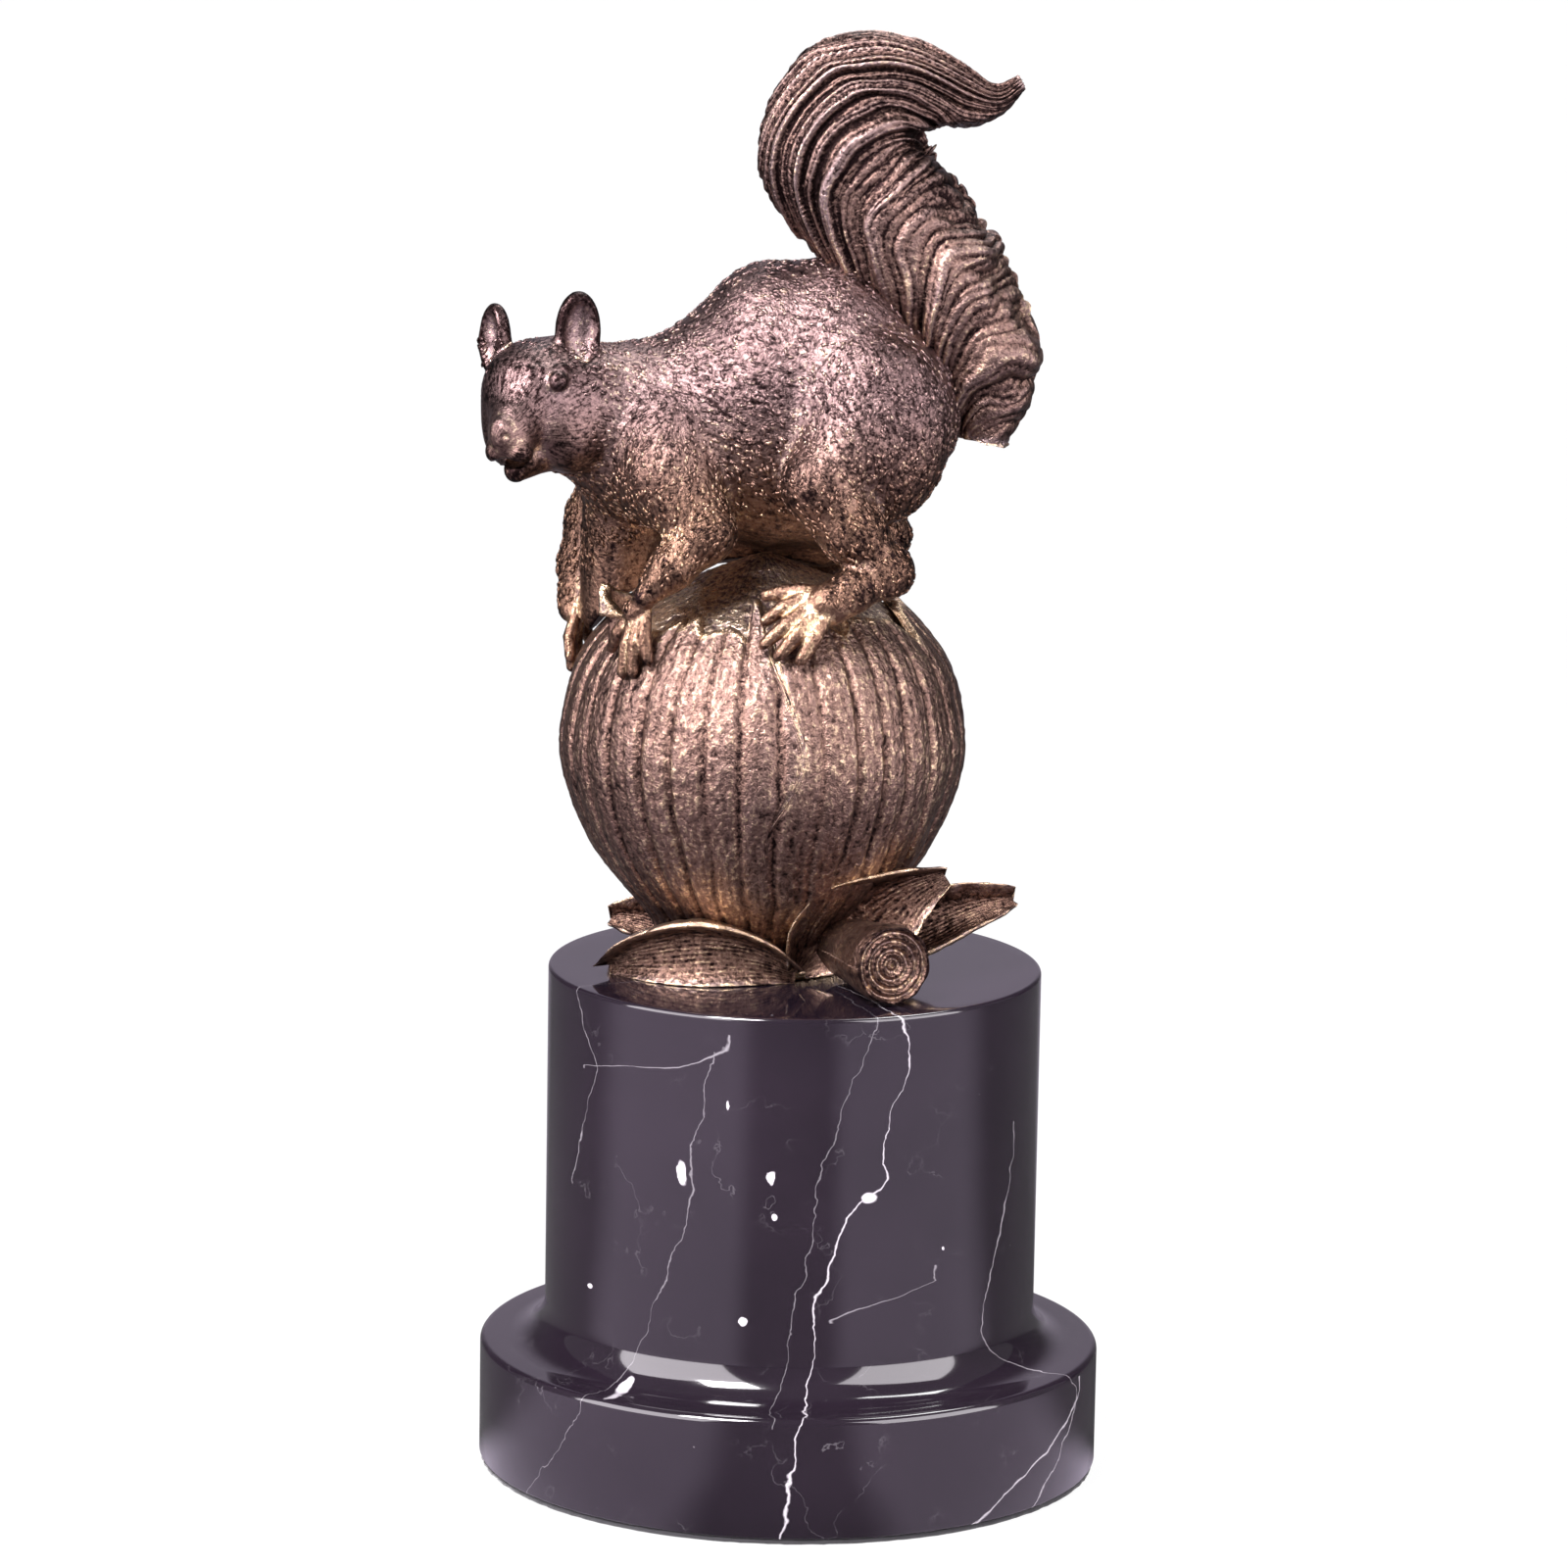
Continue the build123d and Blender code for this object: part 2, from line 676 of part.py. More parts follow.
with BuildPart() as right_hind_leg:
    mirror(hind_leg_form.part, about=Plane.XZ.offset(-torso_centre.Y))
    add(torso.part, mode=Mode.SUBTRACT)
finish(right_hind_leg, "right_hind_leg")

# Twig: the cut end of a branch, lying on the plinth, with growth rings on its face
twig_root_shares = (0.41, -0.38, 0.17)
twig_place_shares = (0, 0.5, 0.88, 1)
twig_radius_shares = (0.74, 0.84, 1.0, 0.97)
ring_shares = [(0.80, 0.68), (0.52, 0.40)]
pith_share = 0.22
twig_direction = Vector(0.37, -0.92, 0.05).normalized()
twig_root = nut_foot + Vector(*twig_root_shares) * husk_radius
twig_places = [twig_root + twig_direction * (twig_length * share) for share in twig_place_shares]
twig_radii = [twig_diameter / 2 * share for share in twig_radius_shares]

with BuildPart() as twig_stub:
    add(limb(route(twig_places, twig_radii), Vector(0, 0, 1), ruled=True))
    with BuildSketch(Plane(origin=twig_places[-1], x_dir=(0, 0, 1), z_dir=twig_direction)):
        for outer_share, inner_share in ring_shares:
            Circle(twig_diameter / 2 * outer_share)
            Circle(twig_diameter / 2 * inner_share, mode=Mode.SUBTRACT)
        Circle(twig_diameter / 2 * pith_share)
    extrude(amount=-ring_depth, mode=Mode.SUBTRACT)
    add(husk.part, mode=Mode.SUBTRACT)
    split(bisect_by=Plane.XY.offset(drum_top), keep=Keep.TOP)
finish(twig_stub, "twig_stub")

# Leaves: four thick curled leaves round the stem, standing on the plinth
front_left_leaf_shares = [
    (-0.71, -0.33, 0.11, 0.11),
    (-0.53, -0.50, 0.36, 0.36),
    (-0.28, -0.58, 0.46, 0.46),
    (-0.03, -0.55, 0.36, 0.36),
    (0.18, -0.47, 0.12, 0.12),
]
front_right_leaf_shares = [
    (0.20, -0.44, 0.16, 0.14),
    (0.33, -0.50, 0.60, 0.58),
    (0.50, -0.53, 0.85, 0.74),
    (0.70, -0.50, 1.25, 0.42),
    (0.88, -0.44, 1.50, 0.14),
]
right_leaf_shares = [
    (0.50, -0.26, 0.36, 0.36),
    (0.76, -0.29, 0.66, 0.42),
    (0.98, -0.23, 0.84, 0.31),
    (1.13, -0.17, 0.92, 0.19),
    (1.22, -0.12, 0.97, 0.09),
]
back_left_leaf_shares = [
    (-0.33, 0.28, 0.18, 0.18),
    (-0.45, 0.31, 0.24, 0.24),
    (-0.55, 0.35, 0.27, 0.26),
    (-0.65, 0.39, 0.27, 0.18),
    (-0.73, 0.42, 0.28, 0.10),
]
leaves = {
    "front_left_leaf": (front_left_leaf_shares, Vector(0, -1, 0)),
    "front_right_leaf": (front_right_leaf_shares, Vector(0, -1, 0)),
    "right_leaf": (right_leaf_shares, Vector(0, -0.8, 0.6)),
    "back_left_leaf": (back_left_leaf_shares, Vector(-0.3, -0.7, 0.6)),
}
placed = [husk.part, twig_stub.part]
for name, (shares, lean) in leaves.items():
    places = []
    for along, across, up, _ in shares:
        places.append(nut_foot + Vector(along * leaf_length, across * leaf_length, up * leaf_height))
    sheet, rim = leaf(places, [half * leaf_height for _, _, _, half in shares], lean)
    with BuildPart() as piece:
        add(sheet)
        add(rim)
        for neighbour in placed:
            add(neighbour, mode=Mode.SUBTRACT)
        split(bisect_by=Plane.XY.offset(drum_top), keep=Keep.TOP)
        add(piece.solids().sort_by(SortBy.VOLUME)[-1], mode=Mode.REPLACE)
    placed.append(piece.part)
    finish(piece, name)
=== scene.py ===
"""Looks of a bronze squirrel on a husked hazelnut and a turned black marble plinth.

The forms are modelled as a founder's clay would be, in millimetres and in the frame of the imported
part, and become meshes in metres. The squirrel faces -X and looks towards the camera, which is
at -Y; +Z is up.
"""

import sys
import logging
import math
from dataclasses import dataclass
from enum import Enum
from typing import Iterable, Optional, Sequence

import bpy
import numpy as np
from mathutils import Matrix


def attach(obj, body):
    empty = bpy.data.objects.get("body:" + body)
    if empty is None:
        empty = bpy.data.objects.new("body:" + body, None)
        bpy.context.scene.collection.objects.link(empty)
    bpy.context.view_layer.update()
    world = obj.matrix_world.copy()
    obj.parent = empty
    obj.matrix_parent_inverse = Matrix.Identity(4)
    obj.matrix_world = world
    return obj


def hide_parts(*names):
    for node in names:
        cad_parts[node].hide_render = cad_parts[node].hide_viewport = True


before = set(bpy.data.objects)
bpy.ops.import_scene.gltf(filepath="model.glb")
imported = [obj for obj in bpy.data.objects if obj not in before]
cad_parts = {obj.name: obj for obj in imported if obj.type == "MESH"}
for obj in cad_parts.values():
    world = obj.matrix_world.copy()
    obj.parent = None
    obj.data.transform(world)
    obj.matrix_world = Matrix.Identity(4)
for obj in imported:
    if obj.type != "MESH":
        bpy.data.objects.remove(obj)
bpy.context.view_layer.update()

import openvdb
from mathutils import Matrix, Vector

MM = 0.001
DRUM_TOP = 98.0
BODY = "root"
LOG = logging.getLogger("squirrel")
logging.basicConfig(level=logging.INFO, format="%(name)s: %(message)s", stream=sys.stdout)

Array = np.ndarray
Triple = tuple[float, float, float]
Link = bpy.types.NodeSocket


# ---- numbers and noise -------------------------------------------------------------------------


def unit_from(azimuth: float, elevation: float) -> Array:
    """Return the unit vector at an azimuth from +X and an elevation, in degrees."""
    turn, rise = math.radians(azimuth), math.radians(elevation)
    return np.array([math.cos(rise) * math.cos(turn), math.cos(rise) * math.sin(turn), math.sin(rise)])


def smooth_step(low: float, high: float, value: Array) -> Array:
    """Ease from 0 below low to 1 above high."""
    share = np.clip((value - low) / (high - low), 0.0, 1.0)
    return share * share * (3.0 - 2.0 * share)


def lattice(points: Array, cell: float, seed: int) -> Array:
    """Give smooth value noise from -1 to 1 at points.

    Args:
        points: Places, one row each, in millimetres.
        cell: Size of one lump of the noise, in millimetres.
        seed: Number that picks the pattern.

    Returns:
        One value for each point.
    """
    scaled = points / cell + 1000.0
    base = np.floor(scaled).astype(np.int64)
    part = scaled - base
    part = part * part * (3.0 - 2.0 * part)
    total = np.zeros(len(points))
    for corner in range(8):
        offset = np.array([corner & 1, corner >> 1 & 1, corner >> 2 & 1])
        key = base + offset
        mixed = (key[:, 0] * 73856093) ^ (key[:, 1] * 19349663) ^ (key[:, 2] * 83492791) ^ (seed * 2654435)
        mixed = (mixed ^ (mixed >> 13)) * 1274126177 & 0x7FFFFFFF
        value = ((mixed ^ (mixed >> 16)) & 0xFFFF) / 32767.5 - 1.0
        weight = np.prod(np.where(offset == 1, part, 1.0 - part), axis=1)
        total += value * weight
    return total


def spline(places: Sequence[Sequence[float]], count: int) -> Array:
    """Pass a smooth curve through rows of numbers and sample it evenly along its first three.

    Args:
        places: Rows that the curve passes through.
        count: How many rows to return.

    Returns:
        The sampled rows.
    """
    rows = np.asarray(places, float)
    padded = np.vstack([2 * rows[0] - rows[1], rows, 2 * rows[-1] - rows[-2]])
    fine = []
    for index in range(len(rows) - 1):
        a, b, c, d = padded[index:index + 4]
        t = np.linspace(0, 1, 33)[:-1, None]
        fine.append(0.5 * (2 * b + (c - a) * t + (2 * a - 5 * b + 4 * c - d) * t**2
                           + (3 * b - a - 3 * c + d) * t**3))
    fine.append(rows[-1:])
    curve = np.vstack(fine)
    steps = np.linalg.norm(np.diff(curve[:, :3], axis=0), axis=1)
    along = np.concatenate([[0], np.cumsum(steps)])
    wanted = np.linspace(0, along[-1], count)
    return np.stack([np.interp(wanted, along, curve[:, k]) for k in range(rows.shape[1])], axis=1)


# ---- meshes ------------------------------------------------------------------------------------


class Rubbed(Enum):
    """Where the patina is rubbed bright: on what stands out, or in what lies between."""

    RAISED = 1.0
    SUNK = -1.0


@dataclass
class Shape:
    """A mesh being modelled: places in millimetres, quads, and values on its points."""

    points: Array
    faces: Array
    patina: Optional[Array] = None
    flow: Optional[Array] = None

    def normals(self) -> Array:
        """Work out the outward normal at each point.

        Returns:
            One unit vector for each point.
        """
        corners = self.points[self.faces]
        across = np.cross(corners[:, 2] - corners[:, 0], corners[:, 3] - corners[:, 1])
        total = np.zeros_like(self.points)
        for corner in range(4):
            for axis in range(3):
                total[:, axis] += np.bincount(
                    self.faces[:, corner], across[:, axis], minlength=len(self.points)
                )
        return total / np.maximum(np.linalg.norm(total, axis=1, keepdims=True), 1e-12)

    def around(self, values: Array, rounds: int = 1) -> Array:
        """Average values with those of neighbouring points.

        Args:
            values: One number or row for each point.
            rounds: How many times they are averaged.

        Returns:
            The averaged values.
        """
        edges = np.vstack([self.faces[:, [k, (k + 1) % 4]] for k in range(4)])
        edges = edges[edges[:, 0] != edges[:, 1]]
        first = np.concatenate([edges[:, 0], edges[:, 1]])
        second = np.concatenate([edges[:, 1], edges[:, 0]])
        size = len(self.points)
        count = np.maximum(np.bincount(first, minlength=size), 1)
        result = values.astype(float)
        for _ in range(rounds):
            if result.ndim == 1:
                result = np.bincount(first, result[second], minlength=size) / count
            else:
                result = np.stack([np.bincount(first, result[second, k], minlength=size) / count
                                   for k in range(result.shape[1])], axis=1)
        return result

    def relief(self, rounds: int) -> Array:
        """Return how far each point stands out of its surroundings, in millimetres."""
        smoothed = self.around(self.points, rounds)
        return np.einsum("ij,ij->i", self.points - smoothed, self.normals())

    def turn_over(self, split_kept: bool = True) -> None:
        """Turn every face round.

        Args:
            split_kept: Whether a quad keeps the diagonal along which it is split in two.
        """
        turned = self.faces[:, ::-1].copy()
        caps = turned[:, 0] == turned[:, 1]
        turned[caps] = np.roll(turned[caps], -2, axis=1)
        if split_kept:
            turned[~caps] = np.roll(turned[~caps], 1, axis=1)
        self.faces = turned

    def age(self, fine: float, broad: float, warmth: float | Array, extra: float | Array = 0.0,
            where: Rubbed = Rubbed.RAISED) -> None:
        """Set the patina from how the form stands out: polish, depth and warmth. The depth sets the painted
        sheen.

        Args:
            fine: Height in millimetres over which small relief goes from dark to rubbed.
            broad: The same for the broad form.
            warmth: How warm the brown is, from 0 to 1, for all points or for each.
            extra: More rubbing, for all points or for each; on the kernel it is painted light.
            where: Whether what is raised or what is sunk is rubbed.
        """
        near = where.value * self.relief(3) / fine
        far = where.value * self.relief(24) / broad
        rubbed = np.clip(0.5 + 0.5 * np.tanh(0.9 * near + 0.5 * far) + extra, 0, 1)
        warm = np.broadcast_to(warmth, rubbed.shape)
        self.patina = np.stack([rubbed, 0.5 + 0.5 * np.tanh(far), warm], axis=1)

    def with_faces(self, kept: Array) -> "Shape":
        """Keep only some faces, and the points that they use.

        Args:
            kept: Those faces, as rows of four point numbers.

        Returns:
            The smaller mesh, with its values.
        """
        used = np.unique(kept)
        place = np.full(len(self.points), -1)
        place[used] = np.arange(len(used))
        return Shape(
            self.points[used],
            place[kept],
            None if self.patina is None else self.patina[used],
            None if self.flow is None else self.flow[used],
        )


def sheet_of(grid: Array, wrap: bool, start_cap: bool = False, end_cap: bool = False) -> Shape:
    """Make a mesh of a grid of places, row after row.

    Args:
        grid: Places by row and column.
        wrap: Whether the last column joins the first.
        start_cap: Whether the first row is closed to its middle.
        end_cap: Whether the last row is closed to its middle.

    Returns:
        The mesh, facing outwards when the columns run anticlockwise seen from the last row.
    """
    rows, columns = grid.shape[:2]
    index = np.arange(rows * columns).reshape(rows, columns)
    right = np.roll(index, -1, axis=1) if wrap else index[:, 1:]
    left = index if wrap else index[:, :-1]
    faces = [np.stack([left[:-1], right[:-1], right[1:], left[1:]], axis=-1).reshape(-1, 4)]
    points = [grid.reshape(-1, 3)]
    total = rows * columns
    for wanted, row, flip in ((start_cap, 0, True), (end_cap, rows - 1, False)):
        if wanted:
            points.append(grid[row].mean(axis=0, keepdims=True))
            hub = np.full(columns, total)
            total += 1
            a, b = index[row], np.roll(index[row], -1)
            quad = np.stack([b, a, hub, hub] if flip else [a, b, hub, hub], axis=-1)
            faces.append(quad)
    return Shape(np.vstack(points), np.vstack(faces))


def lathe(profile: Array, steps: int, centre: Triple = (0.0, 0.0, 0.0)) -> Array:
    """Turn a profile about an upright axis.

    Args:
        profile: Rows of radius and height.
        steps: How many places go round the axis.
        centre: Where the axis stands, and where the heights count from.

    Returns:
        Places by row and column.
    """
    turn = np.linspace(0, 2 * np.pi, steps, endpoint=False)
    radius, height = profile[:, 0:1], profile[:, 1:2]
    return np.stack([centre[0] + radius * np.cos(turn), centre[1] + radius * np.sin(turn),
                     centre[2] + np.repeat(height, steps, axis=1)], axis=-1)


def to_object(name: str, shape: Shape, finish: bpy.types.Material,
              normals: Optional[Array] = None) -> bpy.types.Object:
    """Make a Blender object of a shape, with its patina and flow as attributes.

    Args:
        name: The piece's name.
        shape: The modelled mesh.
        finish: Its material.
        normals: Shading normals, where the piece goes on into its neighbour.

    Returns:
        The new object, at the origin.
    """
    mesh = bpy.data.meshes.new(name)
    quads = shape.faces.tolist()
    faces = [quad[:3] if quad[2] == quad[3] else quad for quad in quads]
    mesh.from_pydata((shape.points * MM).tolist(), [], faces)
    mesh.polygons.foreach_set("use_smooth", np.ones(len(mesh.polygons), bool))
    if shape.patina is not None:
        layer = mesh.attributes.new("patina", "FLOAT_COLOR", "POINT")
        layer.data.foreach_set("color", np.hstack([shape.patina, np.ones((len(shape.patina), 1))]).ravel())
    if shape.flow is not None:
        owner = np.zeros(len(mesh.loops), np.int32)
        mesh.loops.foreach_get("vertex_index", owner)
        mesh.uv_layers.new(name="flow").data.foreach_set("uv", (shape.flow[owner] * MM).ravel())
    mesh.materials.append(finish)
    mesh.update()
    if normals is not None:
        mesh.normals_split_custom_set_from_vertices(normals.tolist())
    obj = bpy.data.objects.new(name, mesh)
    bpy.context.scene.collection.objects.link(obj)
    return obj


def install(obj: bpy.types.Object, slot: str, *nodes: str) -> None:
    """Let a piece ride on the body and stand for CAD nodes.

    Args:
        obj: The piece.
        slot: Not used.
        nodes: The CAD nodes that it replaces.
    """
    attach(obj, BODY)
    if nodes:
        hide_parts(*nodes)
    triangles = len(obj.data.loops) - 2 * len(obj.data.polygons)
    LOG.info("%s: %d triangles, for %s", obj.name, triangles, ", ".join(nodes) or "no node")


# ---- node trees --------------------------------------------------------------------------------


class Socket(Enum):
    """Kinds of socket on a node group."""

    VALUE = "NodeSocketFloat"
    COUNT = "NodeSocketInt"
    COLOUR = "NodeSocketColor"
    VECTOR = "NodeSocketVector"
    MATERIAL = "NodeSocketMaterial"
    GEOMETRY = "NodeSocketGeometry"


class Wiring:
    """Short calls for placing and joining shader nodes in one tree."""

    def __init__(self, tree: bpy.types.NodeTree) -> None:
        """Start on a tree."""
        self.tree = tree

    def node(self, kind: str, **settings: object) -> bpy.types.Node:
        """Place a node.

        Args:
            kind: The node's type.
            settings: Its settings by name.

        Returns:
            The node.
        """
        made = self.tree.nodes.new(kind)
        for key, value in settings.items():
            setattr(made, key, value)
        return made

    def join(self, source: Link, target: Link) -> None:
        """Join two sockets."""
        self.tree.links.new(source, target)

    def math(self, operation: str, first: Link | float, second: Link | float = 0.0,
             third: Link | float = 0.0, clamp: bool = False) -> Link:
        """Place a Math node.

        Args:
            operation: What it does.
            first: Its first socket or number.
            second: Its second.
            third: Its third.
            clamp: Whether the result stays between 0 and 1.

        Returns:
            Its result.
        """
        made = self.node("ShaderNodeMath", operation=operation, use_clamp=clamp)
        for index, value in enumerate((first, second, third)):
            if isinstance(value, Link):
                self.join(value, made.inputs[index])
            else:
                made.inputs[index].default_value = value
        return made.outputs[0]

    def ramp(self, value: Link, low: float, high: float) -> Link:
        """Ease a value from 0 to 1.

        Args:
            value: The socket that gives it.
            low: Where it is 0.
            high: Where it is 1.

        Returns:
            The eased value.
        """
        made = self.node("ShaderNodeMapRange", interpolation_type="SMOOTHSTEP")
        made.inputs["From Min"].default_value = low
        made.inputs["From Max"].default_value = high
        self.join(value, made.inputs["Value"])
        return made.outputs["Result"]

    def mix(self, share: Link | float, first: Link | Triple, second: Link | Triple) -> Link:
        """Mix two colours.

        Args:
            share: How much of the second is taken.
            first: A colour or the socket that gives one.
            second: Another.

        Returns:
            The mixed colour.
        """
        made = self.node("ShaderNodeMix", data_type="RGBA")
        for socket, value in ((made.inputs[0], share), (made.inputs[6], first), (made.inputs[7], second)):
            if isinstance(value, Link):
                self.join(value, socket)
            elif isinstance(value, tuple):
                socket.default_value = (*value, 1.0) if len(value) == 3 else value
            else:
                socket.default_value = value
        return made.outputs[2]

    def noise(self, vector: Link, scale: float, detail: float = 2.0, rough: float = 0.5,
              distortion: float = 0.0) -> Link:
        """Place a noise.

        Args:
            vector: The place that it is read at.
            scale: Lumps per metre.
            detail: How many finer layers it has.
            rough: How strong the finer layers are.
            distortion: How far it is bent.

        Returns:
            Its value, from 0 to 1.
        """
        made = self.node("ShaderNodeTexNoise")
        made.inputs["Scale"].default_value = scale
        made.inputs["Detail"].default_value = detail
        made.inputs["Roughness"].default_value = rough
        made.inputs["Distortion"].default_value = distortion
        self.join(vector, made.inputs["Vector"])
        return made.outputs[0]

    def stretched(self, vector: Link, scale: Triple) -> Link:
        """Scale a vector.

        Args:
            vector: The socket that gives it.
            scale: Its scale along each axis.

        Returns:
            The scaled vector.
        """
        made = self.node("ShaderNodeMapping")
        made.inputs["Scale"].default_value = scale
        self.join(vector, made.inputs["Vector"])
        return made.outputs[0]

    def bump(self, height: Link, strength: float, distance: float) -> Link:
        """Turn a height into a normal.

        Args:
            height: The socket that gives the height.
            strength: Share of the effect.
            distance: How deep a height of 1 is, in metres.

        Returns:
            The bent normal.
        """
        made = self.node("ShaderNodeBump")
        made.inputs["Strength"].default_value = strength
        made.inputs["Distance"].default_value = distance
        self.join(height, made.inputs["Height"])
        return made.outputs[0]


def new_material(name: str) -> tuple[bpy.types.Material, Wiring, bpy.types.Node]:
    """Start a material with only a Principled shader and its output.

    Args:
        name: The material's name.

    Returns:
        The material, its wiring and its shader.
    """
    material = bpy.data.materials.new(name)
    material.use_nodes = True
    wiring = Wiring(material.node_tree)
    shader = next(n for n in material.node_tree.nodes if n.type == "BSDF_PRINCIPLED")
    return material, wiring, shader


def new_group(
    name: str, inputs: Iterable[tuple[str, Socket, object]], outputs: Iterable[tuple[str, Socket]],
) -> tuple[bpy.types.NodeTree, Wiring, dict[str, Link], bpy.types.Node]:
    """Start a shader node group with named inputs and outputs.

    Args:
        name: The group's name.
        inputs: Label, kind and first value of each input.
        outputs: Label and kind of each output.

    Returns:
        The group, its wiring, its inputs by name and its output node.
    """
    tree = bpy.data.node_groups.new(name, "ShaderNodeTree")
    for label, kind, value in inputs:
        socket = tree.interface.new_socket(label, in_out="INPUT", socket_type=kind.value)
        socket.default_value = value
    for label, kind in outputs:
        tree.interface.new_socket(label, in_out="OUTPUT", socket_type=kind.value)
    wiring = Wiring(tree)
    source = wiring.node("NodeGroupInput")
    return tree, wiring, {s.name: s for s in source.outputs if s.name}, wiring.node("NodeGroupOutput")


# ---- repeated details --------------------------------------------------------------------------


def start_tree(
    name: str, inputs: Iterable[tuple[str, Socket]],
) -> tuple[bpy.types.NodeTree, dict[str, Link], Wiring]:
    """Start a Geometry Nodes tree with a geometry input, more named inputs and a geometry output.

    Args:
        name: The tree's name.
        inputs: Label and kind of each input after the geometry and before the finish.

    Returns:
        The tree, its inputs by name and its wiring.
    """
    tree = bpy.data.node_groups.new(name, "GeometryNodeTree")
    for label, kind in (("Geometry", Socket.GEOMETRY), *inputs, ("Finish", Socket.MATERIAL)):
        tree.interface.new_socket(label, in_out="INPUT", socket_type=kind.value)
    tree.interface.new_socket("Geometry", in_out="OUTPUT", socket_type=Socket.GEOMETRY.value)
    wiring = Wiring(tree)
    source = wiring.node("NodeGroupInput")
    return tree, {socket.name: socket for socket in source.outputs if socket.name}, wiring


def end_tree(wiring: Wiring, geometry: Link, finish: Link) -> None:
    """End a tree in plain geometry with its material.

    Args:
        wiring: The tree's wiring.
        geometry: What the tree has made.
        finish: The socket that gives the material.
    """
    real = wiring.node("GeometryNodeRealizeInstances")
    wiring.join(geometry, real.inputs[0])
    dress = wiring.node("GeometryNodeSetMaterial")
    wiring.join(real.outputs[0], dress.inputs["Geometry"])
    wiring.join(finish, dress.inputs["Material"])
    wiring.join(dress.outputs[0], wiring.node("NodeGroupOutput").inputs[0])


def apply_tree(obj: bpy.types.Object, tree: bpy.types.NodeTree, values: dict[str, object]) -> None:
    """Run a Geometry Nodes tree on an object and keep the mesh that it makes.

    Args:
        obj: The object whose mesh goes in and is replaced.
        tree: The tree.
        values: The tree's inputs by name.
    """
    modifier = obj.modifiers.new(tree.name, "NODES")
    modifier.node_group = tree
    for item in tree.interface.items_tree:
        if item.in_out == "INPUT" and item.name in values:
            modifier[item.identifier] = values[item.name]
    graph = bpy.context.evaluated_depsgraph_get()
    made = bpy.data.meshes.new_from_object(obj.evaluated_get(graph), depsgraph=graph)
    obj.modifiers.remove(modifier)
    obj.data = made


